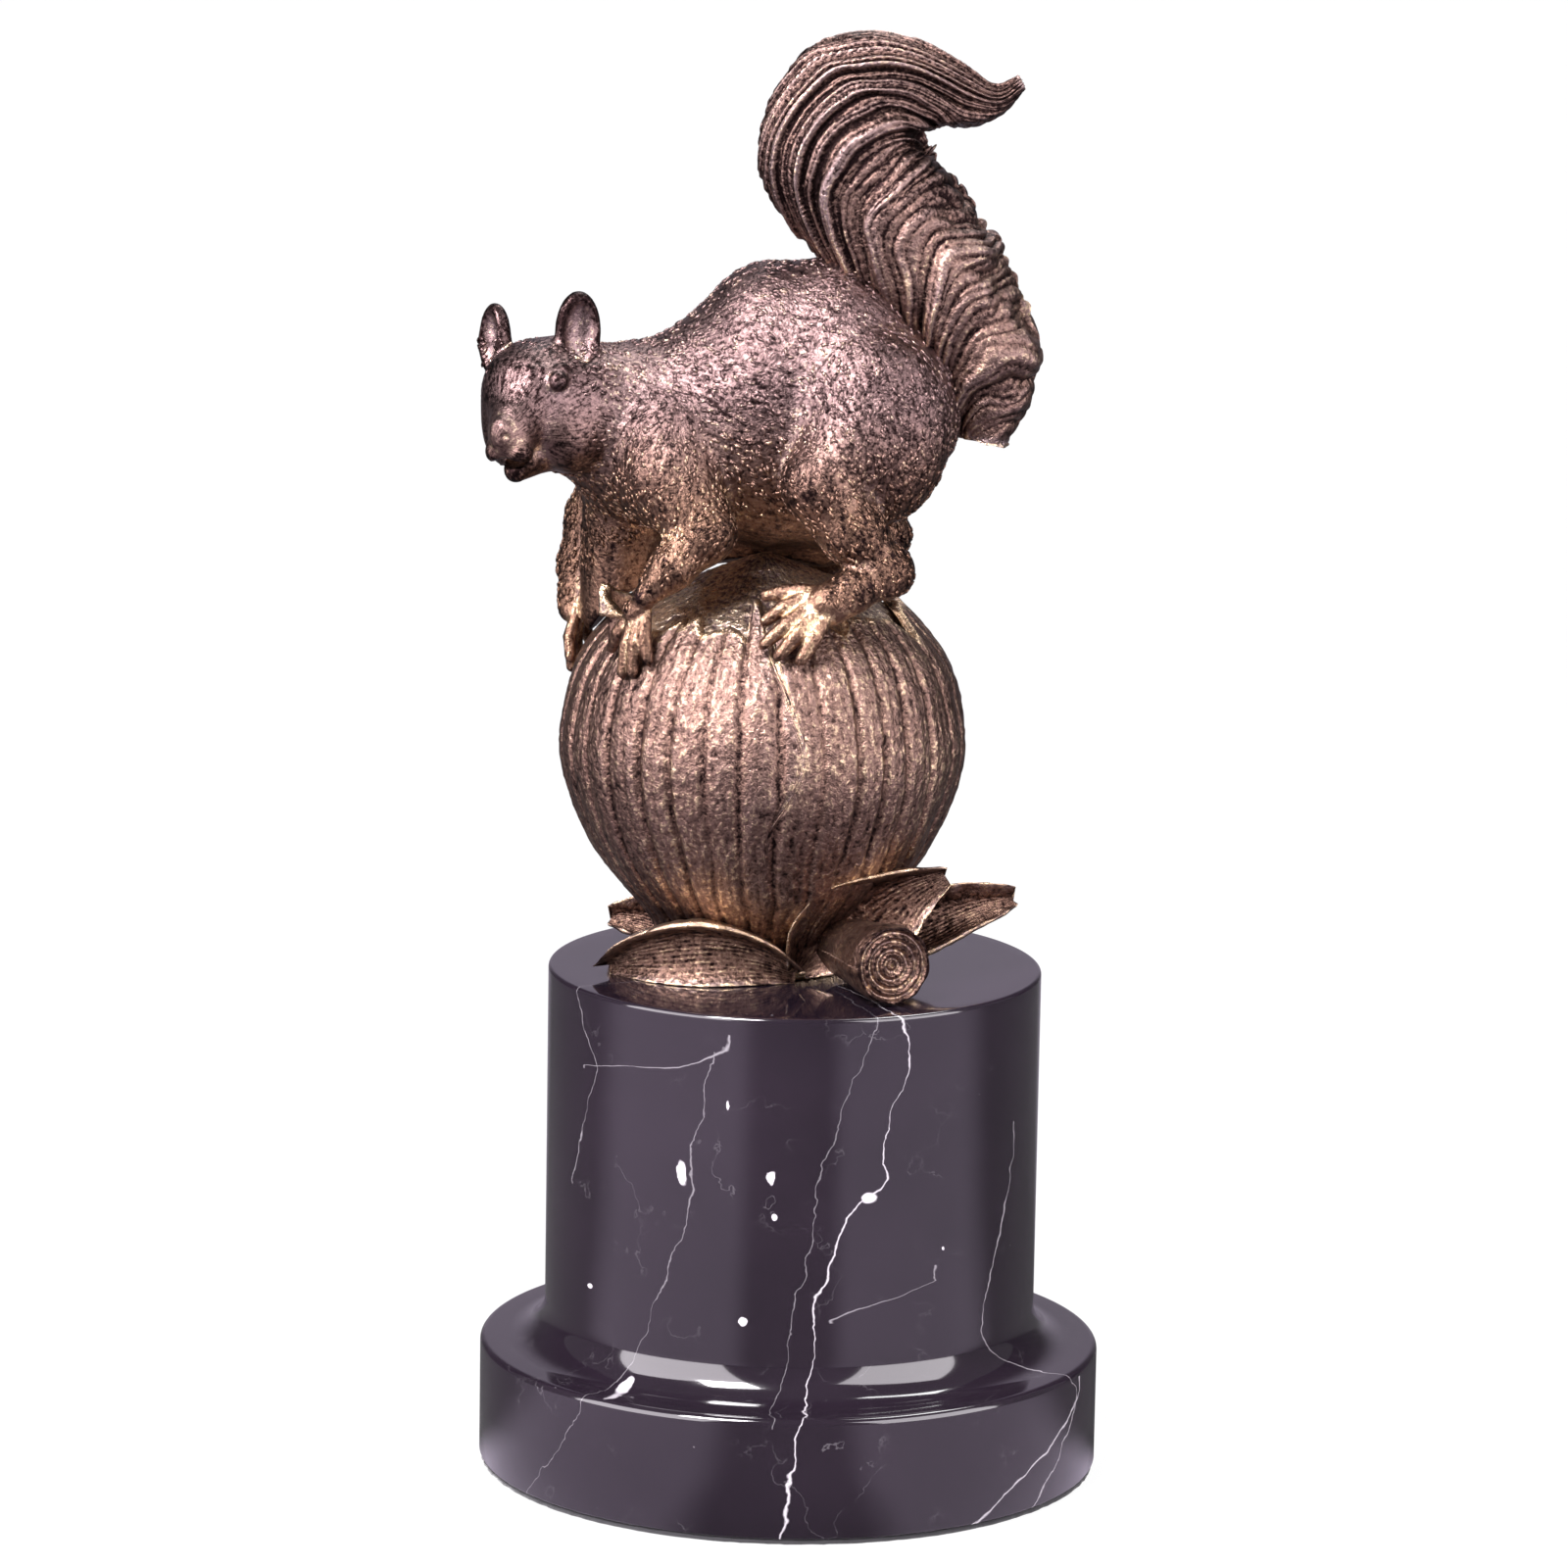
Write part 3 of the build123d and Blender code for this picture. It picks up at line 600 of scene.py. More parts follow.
def stroke_tree() -> bpy.types.NodeTree:
    """Build the tree that lays short raised strokes on a coat, along its way.

    It reads the coat's share and the fur's way from the attributes "coat" and "way". The strokes are
    scattered over the coat turned inside out, and lie half in it.

    Returns:
        The tree, built once.
    """
    name = "Chased Strokes"
    if name in bpy.data.node_groups:
        return bpy.data.node_groups[name]
    sizes = ("Density", "Length", "Width", "Height", "Wander", "Smallest", "Largest")
    tree, given, wiring = start_tree(name, (
        *((label, Socket.VALUE) for label in sizes), ("Polish", Socket.VECTOR), ("Seed", Socket.COUNT),
    ))
    node, join = wiring.node, wiring.join
    coat = node("GeometryNodeInputNamedAttribute", data_type="FLOAT")
    coat.inputs["Name"].default_value = "coat"
    inner = node("GeometryNodeFlipFaces")
    join(given["Geometry"], inner.inputs["Mesh"])
    scatter = node("GeometryNodeDistributePointsOnFaces", distribute_method="RANDOM")
    join(inner.outputs["Mesh"], scatter.inputs["Mesh"])
    crowd = node("ShaderNodeMath", operation="MULTIPLY")
    join(given["Density"], crowd.inputs[0])
    join(coat.outputs["Attribute"], crowd.inputs[1])
    join(crowd.outputs[0], scatter.inputs["Density"])
    join(given["Seed"], scatter.inputs["Seed"])
    way = node("GeometryNodeInputNamedAttribute", data_type="FLOAT_VECTOR")
    way.inputs["Name"].default_value = "way"
    stand = node("FunctionNodeAlignRotationToVector", axis="Z")
    join(scatter.outputs["Normal"], stand.inputs["Vector"])
    lie = node("FunctionNodeAlignRotationToVector", axis="X", pivot_axis="Z")
    join(stand.outputs["Rotation"], lie.inputs["Rotation"])
    join(way.outputs["Attribute"], lie.inputs["Vector"])
    wander = node("FunctionNodeRandomValue", data_type="FLOAT")
    join(wiring.math("MULTIPLY", given["Wander"], -1.0), wander.inputs[2])
    join(given["Wander"], wander.inputs[3])
    join(given["Seed"], wander.inputs["Seed"])
    turned = node("FunctionNodeRotateRotation", rotation_space="LOCAL")
    spin = node("FunctionNodeAxisAngleToRotation")
    spin.inputs["Axis"].default_value = (0, 0, 1)
    join(wander.outputs[1], spin.inputs["Angle"])
    join(lie.outputs["Rotation"], turned.inputs["Rotation"])
    join(spin.outputs["Rotation"], turned.inputs["Rotate By"])
    grow = node("FunctionNodeRandomValue", data_type="FLOAT")
    join(given["Smallest"], grow.inputs[2])
    join(given["Largest"], grow.inputs[3])
    bead = node("GeometryNodeMeshIcoSphere")
    bead.inputs["Radius"].default_value = 1.0
    bead.inputs["Subdivisions"].default_value = 1
    size = node("ShaderNodeCombineXYZ")
    for index, label in enumerate(("Length", "Width", "Height")):
        join(given[label], size.inputs[index])
    drawn = node("GeometryNodeTransform")
    join(bead.outputs["Mesh"], drawn.inputs["Geometry"])
    join(size.outputs[0], drawn.inputs["Scale"])
    smooth = node("GeometryNodeSetShadeSmooth")
    join(drawn.outputs[0], smooth.inputs["Geometry"])
    rubbed = node("GeometryNodeStoreNamedAttribute", data_type="FLOAT_COLOR", domain="POINT")
    rubbed.inputs["Name"].default_value = "patina"
    aged = node("GeometryNodeInputNamedAttribute", data_type="FLOAT_VECTOR")
    aged.inputs["Name"].default_value = "patina"
    brighter = node("ShaderNodeVectorMath", operation="ADD")
    join(aged.outputs["Attribute"], brighter.inputs[0])
    join(given["Polish"], brighter.inputs[1])
    join(scatter.outputs["Points"], rubbed.inputs["Geometry"])
    join(brighter.outputs[0], rubbed.inputs["Value"])
    place = node("GeometryNodeInstanceOnPoints")
    join(rubbed.outputs["Geometry"], place.inputs["Points"])
    join(smooth.outputs[0], place.inputs["Instance"])
    join(turned.outputs["Rotation"], place.inputs["Rotation"])
    join(grow.outputs[1], place.inputs["Scale"])
    both = node("GeometryNodeJoinGeometry")
    join(given["Geometry"], both.inputs[0])
    join(place.outputs["Instances"], both.inputs[0])
    end_tree(wiring, both.outputs[0], given["Finish"])
    return tree


def turning_tree() -> bpy.types.NodeTree:
    """Build the tree that turns a profile about the upright axis, as on a lathe.

    The geometry that goes in is the profile's points, in order, in the XZ plane.

    Returns:
        The tree.
    """
    tree, given, wiring = start_tree("Turned Profile", (("Steps", Socket.COUNT), ("Weld", Socket.VALUE)))
    node, join, math_of = wiring.node, wiring.join, wiring.math
    count = node("GeometryNodeAttributeDomainSize", component="MESH")
    join(given["Geometry"], count.inputs["Geometry"])
    rows = count.outputs["Point Count"]
    grid = node("GeometryNodeMeshGrid")
    join(math_of("ADD", given["Steps"], 1.0), grid.inputs["Vertices X"])
    join(rows, grid.inputs["Vertices Y"])
    index = node("GeometryNodeInputIndex").outputs[0]
    step = math_of("FLOOR", math_of("DIVIDE", math_of("ADD", index, 0.5), rows))
    row = math_of("SUBTRACT", index, math_of("MULTIPLY", step, rows))
    sample = node("GeometryNodeSampleIndex", data_type="FLOAT_VECTOR", domain="POINT")
    join(given["Geometry"], sample.inputs["Geometry"])
    join(node("GeometryNodeInputPosition").outputs[0], sample.inputs["Value"])
    join(row, sample.inputs["Index"])
    turn = node("ShaderNodeVectorRotate", rotation_type="Z_AXIS")
    join(sample.outputs["Value"], turn.inputs["Vector"])
    join(math_of("MULTIPLY", step, math_of("DIVIDE", 2 * math.pi, given["Steps"])), turn.inputs["Angle"])
    move = node("GeometryNodeSetPosition")
    join(grid.outputs["Mesh"], move.inputs["Geometry"])
    join(turn.outputs[0], move.inputs["Position"])
    weld = node("GeometryNodeMergeByDistance")
    join(move.outputs[0], weld.inputs["Geometry"])
    join(given["Weld"], weld.inputs["Distance"])
    smooth = node("GeometryNodeSetShadeSmooth")
    join(weld.outputs[0], smooth.inputs["Geometry"])
    end_tree(wiring, smooth.outputs[0], given["Finish"])
    return tree


# ---- clay --------------------------------------------------------------------------------------


class Clay:
    """A block of space that rounded forms are pressed together in, as a signed distance."""

    FAR = 6.0

    def __init__(self, low: Triple, high: Triple, cell: float) -> None:
        """Set out an empty block.

        Args:
            low: Its lowest corner, in millimetres.
            high: Its highest corner.
            cell: Size of its cells.
        """
        self.low = np.array(low, float)
        self.cell = cell
        self.size = np.ceil((np.array(high) - self.low) / cell).astype(int)
        self.field = np.full(self.size, self.FAR, np.float32)
        self.nearest = np.full(self.size, self.FAR, np.float32)
        self.owner = np.zeros(self.size, np.int8)

    def window(self, low: Array, high: Array, margin: float) -> tuple[tuple[slice, ...], list[Array]]:
        """Find the cells between two corners.

        Args:
            low: The lowest corner of a form.
            high: Its highest corner.
            margin: Room round it.

        Returns:
            The cells as slices, and their coordinates along each axis.
        """
        start = np.clip(np.floor((low - margin - self.low) / self.cell).astype(int), 0, self.size)
        stop = np.clip(np.ceil((high + margin - self.low) / self.cell).astype(int), 0, self.size)
        slices = tuple(slice(a, b) for a, b in zip(start, stop))
        axes = [(self.low[k] + self.cell * np.arange(start[k], stop[k])).astype(np.float32) for k in range(3)]
        return slices, [axes[0][:, None, None], axes[1][None, :, None], axes[2][None, None, :]]

    def press(self, cells: tuple[slice, ...], distance: Array, blend: float, owner: int) -> None:
        """Join a form to the clay.

        Args:
            cells: The cells that it can reach.
            distance: Its signed distance in them.
            blend: Size of the fillet.
            owner: Number of the piece that it belongs to.
        """
        field = self.field[cells]
        share = np.clip(0.5 + 0.5 * (field - distance) / blend, 0, 1)
        self.field[cells] = field * (1 - share) + distance * share - blend * share * (1 - share)
        nearest = self.nearest[cells]
        won = distance < nearest
        nearest[won] = distance[won]
        self.owner[cells][won] = owner

    def carve(self, cells: tuple[slice, ...], distance: Array, blend: float) -> None:
        """Cut a form out of the clay.

        Args:
            cells: The cells that it can reach.
            distance: Its signed distance in them.
            blend: Size of the rounded edge.
        """
        field = self.field[cells]
        share = np.clip(0.5 - 0.5 * (field + distance) / blend, 0, 1)
        self.field[cells] = field * (1 - share) - distance * share + blend * share * (1 - share)

    def cone(self, start: Sequence[float], end: Sequence[float], first: float, last: float,
             blend: float, owner: int) -> None:
        """Press in a round bar that tapers.

        Args:
            start: Where it starts.
            end: Where it ends.
            first: Its radius at the start.
            last: Its radius at the end.
            blend: Size of the fillet.
            owner: Number of the piece that it belongs to.
        """
        a, b = np.array(start, float), np.array(end, float)
        reach = max(first, last)
        cells, (x, y, z) = self.window(np.minimum(a, b), np.maximum(a, b), reach + blend + 1)
        along = b - a
        share = ((x - a[0]) * along[0] + (y - a[1]) * along[1] + (z - a[2]) * along[2]) / float(along @ along)
        share = np.clip(share, 0, 1)
        distance = np.sqrt((x - a[0] - share * along[0])**2 + (y - a[1] - share * along[1])**2
                           + (z - a[2] - share * along[2])**2)
        self.press(cells, distance - (first + (last - first) * share), blend, owner)

    def egg(self, centre: Sequence[float], radii: Sequence[float], blend: float, owner: int = -1,
            forward: Sequence[float] = (1, 0, 0), up: Sequence[float] = (0, 0, 1)) -> None:
        """Press in an ellipsoid, or carve it out where no owner is given.

        Args:
            centre: Its middle.
            radii: Its radii forward, sideways and upward.
            blend: Size of the fillet or rounded edge.
            owner: Number of the piece that it belongs to, or -1 to carve.
            forward: Direction of its first radius.
            up: Rough direction of its last radius.
        """
        middle = np.array(centre, float)
        ahead = np.array(forward, float) / np.linalg.norm(forward)
        side = np.cross(np.array(up, float), ahead)
        side /= np.linalg.norm(side)
        over = np.cross(ahead, side)
        reach = max(radii)
        cells, (x, y, z) = self.window(middle, middle, reach + blend + 1)
        x, y, z = x - middle[0], y - middle[1], z - middle[2]
        locals_ = [x * axis[0] + y * axis[1] + z * axis[2] for axis in (ahead, side, over)]
        k0 = np.sqrt(sum((value / radius)**2 for value, radius in zip(locals_, radii))) + 1e-6
        k1 = np.sqrt(sum((value / radius**2)**2 for value, radius in zip(locals_, radii))) + 1e-6
        distance = (k0 * (k0 - 1) / k1).astype(np.float32)
        if owner >= 0:
            self.press(cells, distance, blend, owner)
        else:
            self.carve(cells, distance, blend)

    def keep_out_nut(self, centre: Sequence[float], radius: float, crown_drop: float) -> None:
        """Cut the clay back to the nut that it rests on.

        Args:
            centre: The nut's centre.
            radius: Radius that stays free of clay.
            crown_drop: How much less is kept free at the nut's crown.
        """
        axes = np.ogrid[tuple(slice(0, size) for size in self.size)]
        x, y, z = (low + self.cell * axis for low, axis in zip(self.low, axes))
        reach = np.sqrt((x - centre[0])**2 + (y - centre[1])**2 + (z - centre[2])**2)
        crown = smooth_step(0.62, 0.93, (z - centre[2]) / np.maximum(reach, 1.0))
        self.field = np.maximum(self.field, (radius - crown_drop * crown - reach).astype(np.float32))

    def surface(self) -> tuple[Shape, Array]:
        """Skin the clay.

        Returns:
            The mesh, and the number of the piece that each of its points belongs to.
        """
        limit = 3 * self.cell
        grid = openvdb.FloatGrid(limit)
        grid.copyFromArray(np.clip(self.field, -limit, limit).astype(np.float32))
        points, quads = grid.convertToQuads(0.0)
        shape = Shape(np.asarray(points, float), np.asarray(quads, np.int64)[:, ::-1].copy())
        shape.points = 0.35 * shape.points + 0.65 * shape.around(shape.points)
        cell = np.clip(np.rint(shape.points).astype(int), 0, self.size - 1)
        owner = self.owner[cell[:, 0], cell[:, 1], cell[:, 2]]
        shape.points = self.low + shape.points * self.cell
        return shape, owner


# ---- finishes ----------------------------------------------------------------------------------


@dataclass(frozen=True)
class PatinaAndSheen:
    """The colours of aged bronze, each as a cooler and a warmer one where it has two, and a painted
    mauve-grey sheen for the broad raised form.
    """

    hollow: Triple = (0.013, 0.007, 0.007)
    brown: tuple[Triple, Triple] = ((0.165, 0.108, 0.108), (0.185, 0.104, 0.066))
    gold: tuple[Triple, Triple] = ((0.78, 0.62, 0.45), (0.72, 0.50, 0.29))
    # Painted sheen: a mauve grey laid on the broad raised form, where the softboxes' reflection would fall.
    painted_sheen: Triple = (0.42, 0.34, 0.36)
    hollow_heights: tuple[float, float] = (0.16, 0.60)
    rubbed_heights: tuple[float, float] = (0.62, 1.05)
    painted_sheen_heights: tuple[float, float] = (0.45, 0.95)
    painted_sheen_share: float = 0.55
    gold_share: float = 0.90

    def build(self) -> bpy.types.NodeTree:
        """Build the group that colours bronze from its relief and a fine pattern, and paints a sheen on the
        broad raised form.

        Returns:
            The group, which gives a colour and a roughness.
        """
        tree, wires, given, out = new_group(
            "Bronze Patina",
            [(label, Socket.VALUE, 0.5) for label in ("Relief", "Broad Relief", "Warmth", "Pattern")],
            [("Color", Socket.COLOUR), ("Roughness", Socket.VALUE)],
        )
        place = wires.node("ShaderNodeTexCoord").outputs["Object"]
        blotch = wires.noise(place, 70.0, 4.0, 0.6)
        grain = wires.noise(place, 1500.0, 2.0, 0.6)
        height = given["Relief"]
        for source, weight in ((given["Pattern"], 0.56), (blotch, 0.5), (grain, 0.4)):
            height = wires.math("ADD", height, wires.math("MULTIPLY_ADD", source, weight, -weight / 2))
        hollow = wires.ramp(height, *self.hollow_heights)
        rubbed = wires.ramp(height, *self.rubbed_heights)
        brown = wires.mix(given["Warmth"], *self.brown)
        gold = wires.mix(given["Warmth"], *self.gold)
        base = wires.mix(hollow, self.hollow, brown)
        # Painted sheen: the mauve grey grows with the broad relief and is kept out of the hollows.
        painted_sheen = wires.mix(wires.ramp(given["Broad Relief"], *self.painted_sheen_heights), base, self.painted_sheen)
        base = wires.mix(wires.math("MULTIPLY", hollow, self.painted_sheen_share), base, painted_sheen)
        colour = wires.mix(wires.math("MULTIPLY", rubbed, self.gold_share), base, gold)
        rough = wires.math("MULTIPLY_ADD", grain, 0.16, 0.30)
        wires.join(colour, out.inputs["Color"])
        polish = wires.math("MULTIPLY", rubbed, 0.10)
        wires.join(wires.math("SUBTRACT", rough, polish), out.inputs["Roughness"])
        return tree


class Fur(Enum):
    """How a bronze surface was worked: its fine pattern along and across the flow, per metre."""

    COAT = (380.0, 1500.0, 0.22)
    FACE = (500.0, 1500.0, 0.14)
    LOCKS = (110.0, 1100.0, 0.24)
    BARK = (420.0, 900.0, 0.26)
    GRAIN = (900.0, 900.0, 0.22)


@dataclass(frozen=True)
class Bronze:
    """Patinated bronze with a painted sheen, worked with a fine pattern along its flow."""

    name: str
    fur: Fur
    metal: float = 1.0

    def build(self, patina: bpy.types.NodeTree) -> bpy.types.Material:
        """Make the material on the shared group of patina and painted sheen.

        Args:
            patina: That group.

        Returns:
            The material.
        """
        material, wires, shader = new_material(self.name)
        along, across, depth = self.fur.value
        flow = wires.node("ShaderNodeUVMap", uv_map="flow").outputs[0]
        place = wires.node("ShaderNodeTexCoord").outputs["Object"]
        streak = wires.noise(wires.stretched(flow, (along, across, 1.0)), 1.0, 3.0, 0.55, 0.6)
        tuft = wires.node("ShaderNodeTexVoronoi", feature="SMOOTH_F1", voronoi_dimensions="2D")
        tuft.inputs["Smoothness"].default_value = 0.35
        wires.join(wires.stretched(flow, (along * 1.1, across * 0.8, 1.0)), tuft.inputs["Vector"])
        tuft.inputs["Scale"].default_value = 1.0
        pits = wires.noise(place, 1250.0, 3.0, 0.65, 0.4)
        height = wires.math("MULTIPLY_ADD", wires.math("SUBTRACT", 1.0, tuft.outputs[0]), 0.5,
                            wires.math("MULTIPLY", streak, 0.8))
        height = wires.math("MULTIPLY_ADD", pits, 1.1, wires.math("MULTIPLY", height, 0.55))
        relief = wires.node("ShaderNodeAttribute", attribute_name="patina")
        parts = wires.node("ShaderNodeSeparateColor")
        wires.join(relief.outputs["Color"], parts.inputs[0])
        aged = wires.node("ShaderNodeGroup", node_tree=patina)
        for index, label in enumerate(("Relief", "Broad Relief", "Warmth")):
            wires.join(parts.outputs[index], aged.inputs[label])
        wires.join(wires.ramp(height, 0.60, 1.30), aged.inputs["Pattern"])
        wires.join(aged.outputs["Color"], shader.inputs["Base Color"])
        wires.join(aged.outputs["Roughness"], shader.inputs["Roughness"])
        wires.join(wires.bump(height, depth * 2.6, 0.0005), shader.inputs["Normal"])
        shader.inputs["Metallic"].default_value = self.metal
        return material


@dataclass(frozen=True)
class Vein:
    """A white vein on the plinth, as its sideways place at each height, in millimetres.

    A sideways place is an arc length round the drum from its front, to the right.
    """

    heights: tuple[float, ...]
    places: tuple[float, ...]
    width: float
    strength: float


@dataclass(frozen=True)
class Fleck:
    """A white spot on the plinth: its arc length from the front, height and half sizes, in millimetres."""

    arc: float
    height: float
    wide: float
    tall: float


@dataclass(frozen=True)
class Marble:
    """Polished black marble with white veins and specks."""

    name: str = "Black Marble"
    veins: tuple[Vein, ...] = (
        Vein((1, 12, 23, 33, 42, 49, 55, 61, 66, 72, 80, 88, 96),
             (-1, 1, 2.5, 4.5, 5, 7, 9, 12, 17.5, 18, 19, 22, 21), 0.19, 0.75),
        Vein((23, 42, 52, 62, 76, 88, 96), (-2, 1, 3, 5, 8, 12, 16), 0.11, 0.22),
        Vein((1, 14, 24, 40, 58, 72, 88), (-46, -38, -33, -27, -20, -19, -15), 0.13, 0.22),
        Vein((1, 10, 22, 30, 46, 60, 70), (42, 50, 55, 44, 45, 50, 52), 0.20, 0.45),
        Vein((1, 8, 14, 20), (30, 40, 50, 57), 0.38, 0.65),
        Vein((60, 74, 84, 92, 97), (-51, -46, -43, -47, -50), 0.14, 0.3),
        Vein((83.5, 85.5, 87.5, 91.5), (-47, -36, -22, -13), 0.50, 0.3),
        Vein((40.0, 42.0, 44.0, 46.0), (8, 14, 22, 30), 0.40, 0.3),
    )
    flecks: tuple[Fleck, ...] = (
        Fleck(-21.2, 67.0, 1.2, 2.9), Fleck(15.3, 63.5, 1.6, 1.3), Fleck(-4.0, 67.5, 0.6, 1.7),
        Fleck(-3.6, 60.0, 0.8, 0.8), Fleck(-29.8, 25.5, 1.6, 1.3), Fleck(-8.7, 39.5, 0.8, 0.9),
        Fleck(-44.0, 41.0, 0.6, 0.5), Fleck(31.0, 52.0, 0.4, 0.4), Fleck(-12.0, 81.0, 0.4, 1.0),
    )
    drum_radius: float = 47.5
    dark: Triple = (0.0040, 0.0024, 0.0046)
    pale: Triple = (0.014, 0.009, 0.015)
    white: Triple = (0.62, 0.58, 0.62)

    def vein_mask(self, wires: Wiring, vein: Vein, arc: Link, level: Link, patchy: Link) -> Link:
        """Draw one vein.

        Args:
            wires: The material's wiring.
            vein: The vein.
            arc: Arc length from the plinth's front, in millimetres.
            level: Height, in tenths of a metre.
            patchy: A noise that thins and swells it.

        Returns:
            How white the surface is there.
        """
        curve = wires.node("ShaderNodeFloatCurve")
        line = curve.mapping.curves[0]
        for index, (height, sideways) in enumerate(zip(vein.heights, vein.places)):
            spot = (height / 100.0, sideways / 200.0 + 0.5)
            if index < 2:
                line.points[index].location = spot
            else:
                line.points.new(*spot)
        curve.mapping.extend = "HORIZONTAL"
        curve.mapping.update()
        wires.join(level, curve.inputs["Value"])
        middle = wires.math("MULTIPLY_ADD", curve.outputs[0], 200.0, -100.0)
        away = wires.math("ABSOLUTE", wires.math("SUBTRACT", arc, middle))
        width = wires.math("MULTIPLY_ADD", wires.ramp(patchy, 0.35, 0.75), vein.width * 1.8, vein.width * 0.5)
        line_mask = wires.math("SUBTRACT", 1.0, wires.math("DIVIDE", away, width), clamp=True)
        inside = wires.math("MULTIPLY", wires.math("GREATER_THAN", level, vein.heights[0] / 100.0 - 0.005),
                            wires.math("LESS_THAN", level, vein.heights[-1] / 100.0 + 0.03))
        return wires.math("MULTIPLY", wires.math("MULTIPLY", line_mask, inside), vein.strength)

    def fleck_mask(self, wires: Wiring, fleck: Fleck, arc: Link, level: Link, patchy: Link) -> Link:
        """Draw one fleck.

        Args:
            wires: The material's wiring.
            fleck: The fleck.
            arc: Arc length from the plinth's front, in millimetres.
            level: Height, in tenths of a metre.
            patchy: A noise that makes its outline uneven.

        Returns:
            How white the surface is there.
        """
        aside = wires.math("MULTIPLY", wires.math("SUBTRACT", arc, fleck.arc), 1.0 / fleck.wide)
        height = wires.math("MULTIPLY", level, 100.0)
        above = wires.math("MULTIPLY", wires.math("SUBTRACT", height, fleck.height), 1.0 / fleck.tall)
        away = wires.math("POWER", wires.math("ADD", wires.math("MULTIPLY", aside, aside),
                                              wires.math("MULTIPLY", above, above)), 0.5)
        away = wires.math("MULTIPLY_ADD", patchy, 0.8, wires.math("SUBTRACT", away, 0.4))
        return wires.math("MULTIPLY", wires.math("SUBTRACT", 1.0, wires.ramp(away, 0.7, 1.0)), 0.85)

    def build(self) -> bpy.types.Material:
        """Make the material.

        Returns:
            The material.
        """
        material, wires, shader = new_material(self.name)
        place = wires.node("ShaderNodeTexCoord").outputs["Object"]
        wobble = wires.node("ShaderNodeTexNoise")
        wobble.inputs["Scale"].default_value = 160.0
        wobble.inputs["Detail"].default_value = 4.0
        wires.join(place, wobble.inputs["Vector"])
        apart = wires.node("ShaderNodeSeparateXYZ")
        wires.join(place, apart.inputs[0])
        turn = wires.math("ARCTAN2", apart.outputs[0], wires.math("MULTIPLY", apart.outputs[1], -1.0))
        arc = wires.math("ADD", wires.math("MULTIPLY", turn, self.drum_radius),
                         wires.math("MULTIPLY_ADD", wobble.outputs[0], 5.0, -2.5))
        level = wires.math("MULTIPLY", apart.outputs[2], 10.0)
        patchy = wires.noise(place, 60.0, 3.0, 0.6)
        masks = [self.vein_mask(wires, vein, arc, level, patchy) for vein in self.veins]
        masks += [self.fleck_mask(wires, fleck, arc, level, patchy) for fleck in self.flecks]
        cells = wires.node("ShaderNodeTexVoronoi", feature="DISTANCE_TO_EDGE")
        cells.inputs["Scale"].default_value = 46.0
        shifted = wires.node("ShaderNodeVectorMath", operation="MULTIPLY_ADD")
        wires.join(wobble.outputs[1], shifted.inputs[0])
        shifted.inputs[1].default_value = (0.02, 0.02, 0.02)
        wires.join(place, shifted.inputs[2])
        wires.join(shifted.outputs[0], cells.inputs["Vector"])
        web = wires.math("SUBTRACT", 1.0, wires.ramp(cells.outputs["Distance"], 0.0, 0.012))
        masks.append(wires.math("MULTIPLY", web,
                                wires.math("MULTIPLY", wires.ramp(patchy, 0.45, 0.75), 0.10)))
        masks.append(wires.math("MULTIPLY", wires.ramp(wires.noise(place, 420.0, 2.0, 0.7), 0.76, 0.84), 0.5))
        white = masks[0]
        for mask in masks[1:]:
            white = wires.math("MAXIMUM", white, mask)
        cloud = wires.mix(wires.noise(place, 25.0, 4.0, 0.6), self.dark, self.pale)
        wires.join(wires.mix(white, cloud, self.white), shader.inputs["Base Color"])
        wires.join(wires.math("MULTIPLY_ADD", white, 0.15, 0.10), shader.inputs["Roughness"])
        shader.inputs["IOR"].default_value = 1.58
        shader.inputs["Coat Weight"].default_value = 0.6
        shader.inputs["Coat Roughness"].default_value = 0.04
        return material


@dataclass(frozen=True)
class Plain:
    """A dark felt or a plated steel: one colour with a fine grain."""

    name: str
    colour: Triple
    rough: float
    metal: float
    grain: float
    sheen: float = 0.0

    def build(self) -> bpy.types.Material:
        """Make the material.

        Returns:
            The material.
        """
        material, wires, shader = new_material(self.name)
        place = wires.node("ShaderNodeTexCoord").outputs["Object"]
        lumps = wires.noise(place, self.grain, 4.0, 0.65)
        darker = tuple(0.6 * value for value in self.colour)
        wires.join(wires.mix(lumps, darker, self.colour), shader.inputs["Base Color"])
        wires.join(wires.bump(lumps, 0.4, 0.0004), shader.inputs["Normal"])
        shader.inputs["Roughness"].default_value = self.rough
        shader.inputs["Metallic"].default_value = self.metal
        shader.inputs["Sheen Weight"].default_value = self.sheen
        return material


# ---- plinth ------------------------------------------------------------------------------------


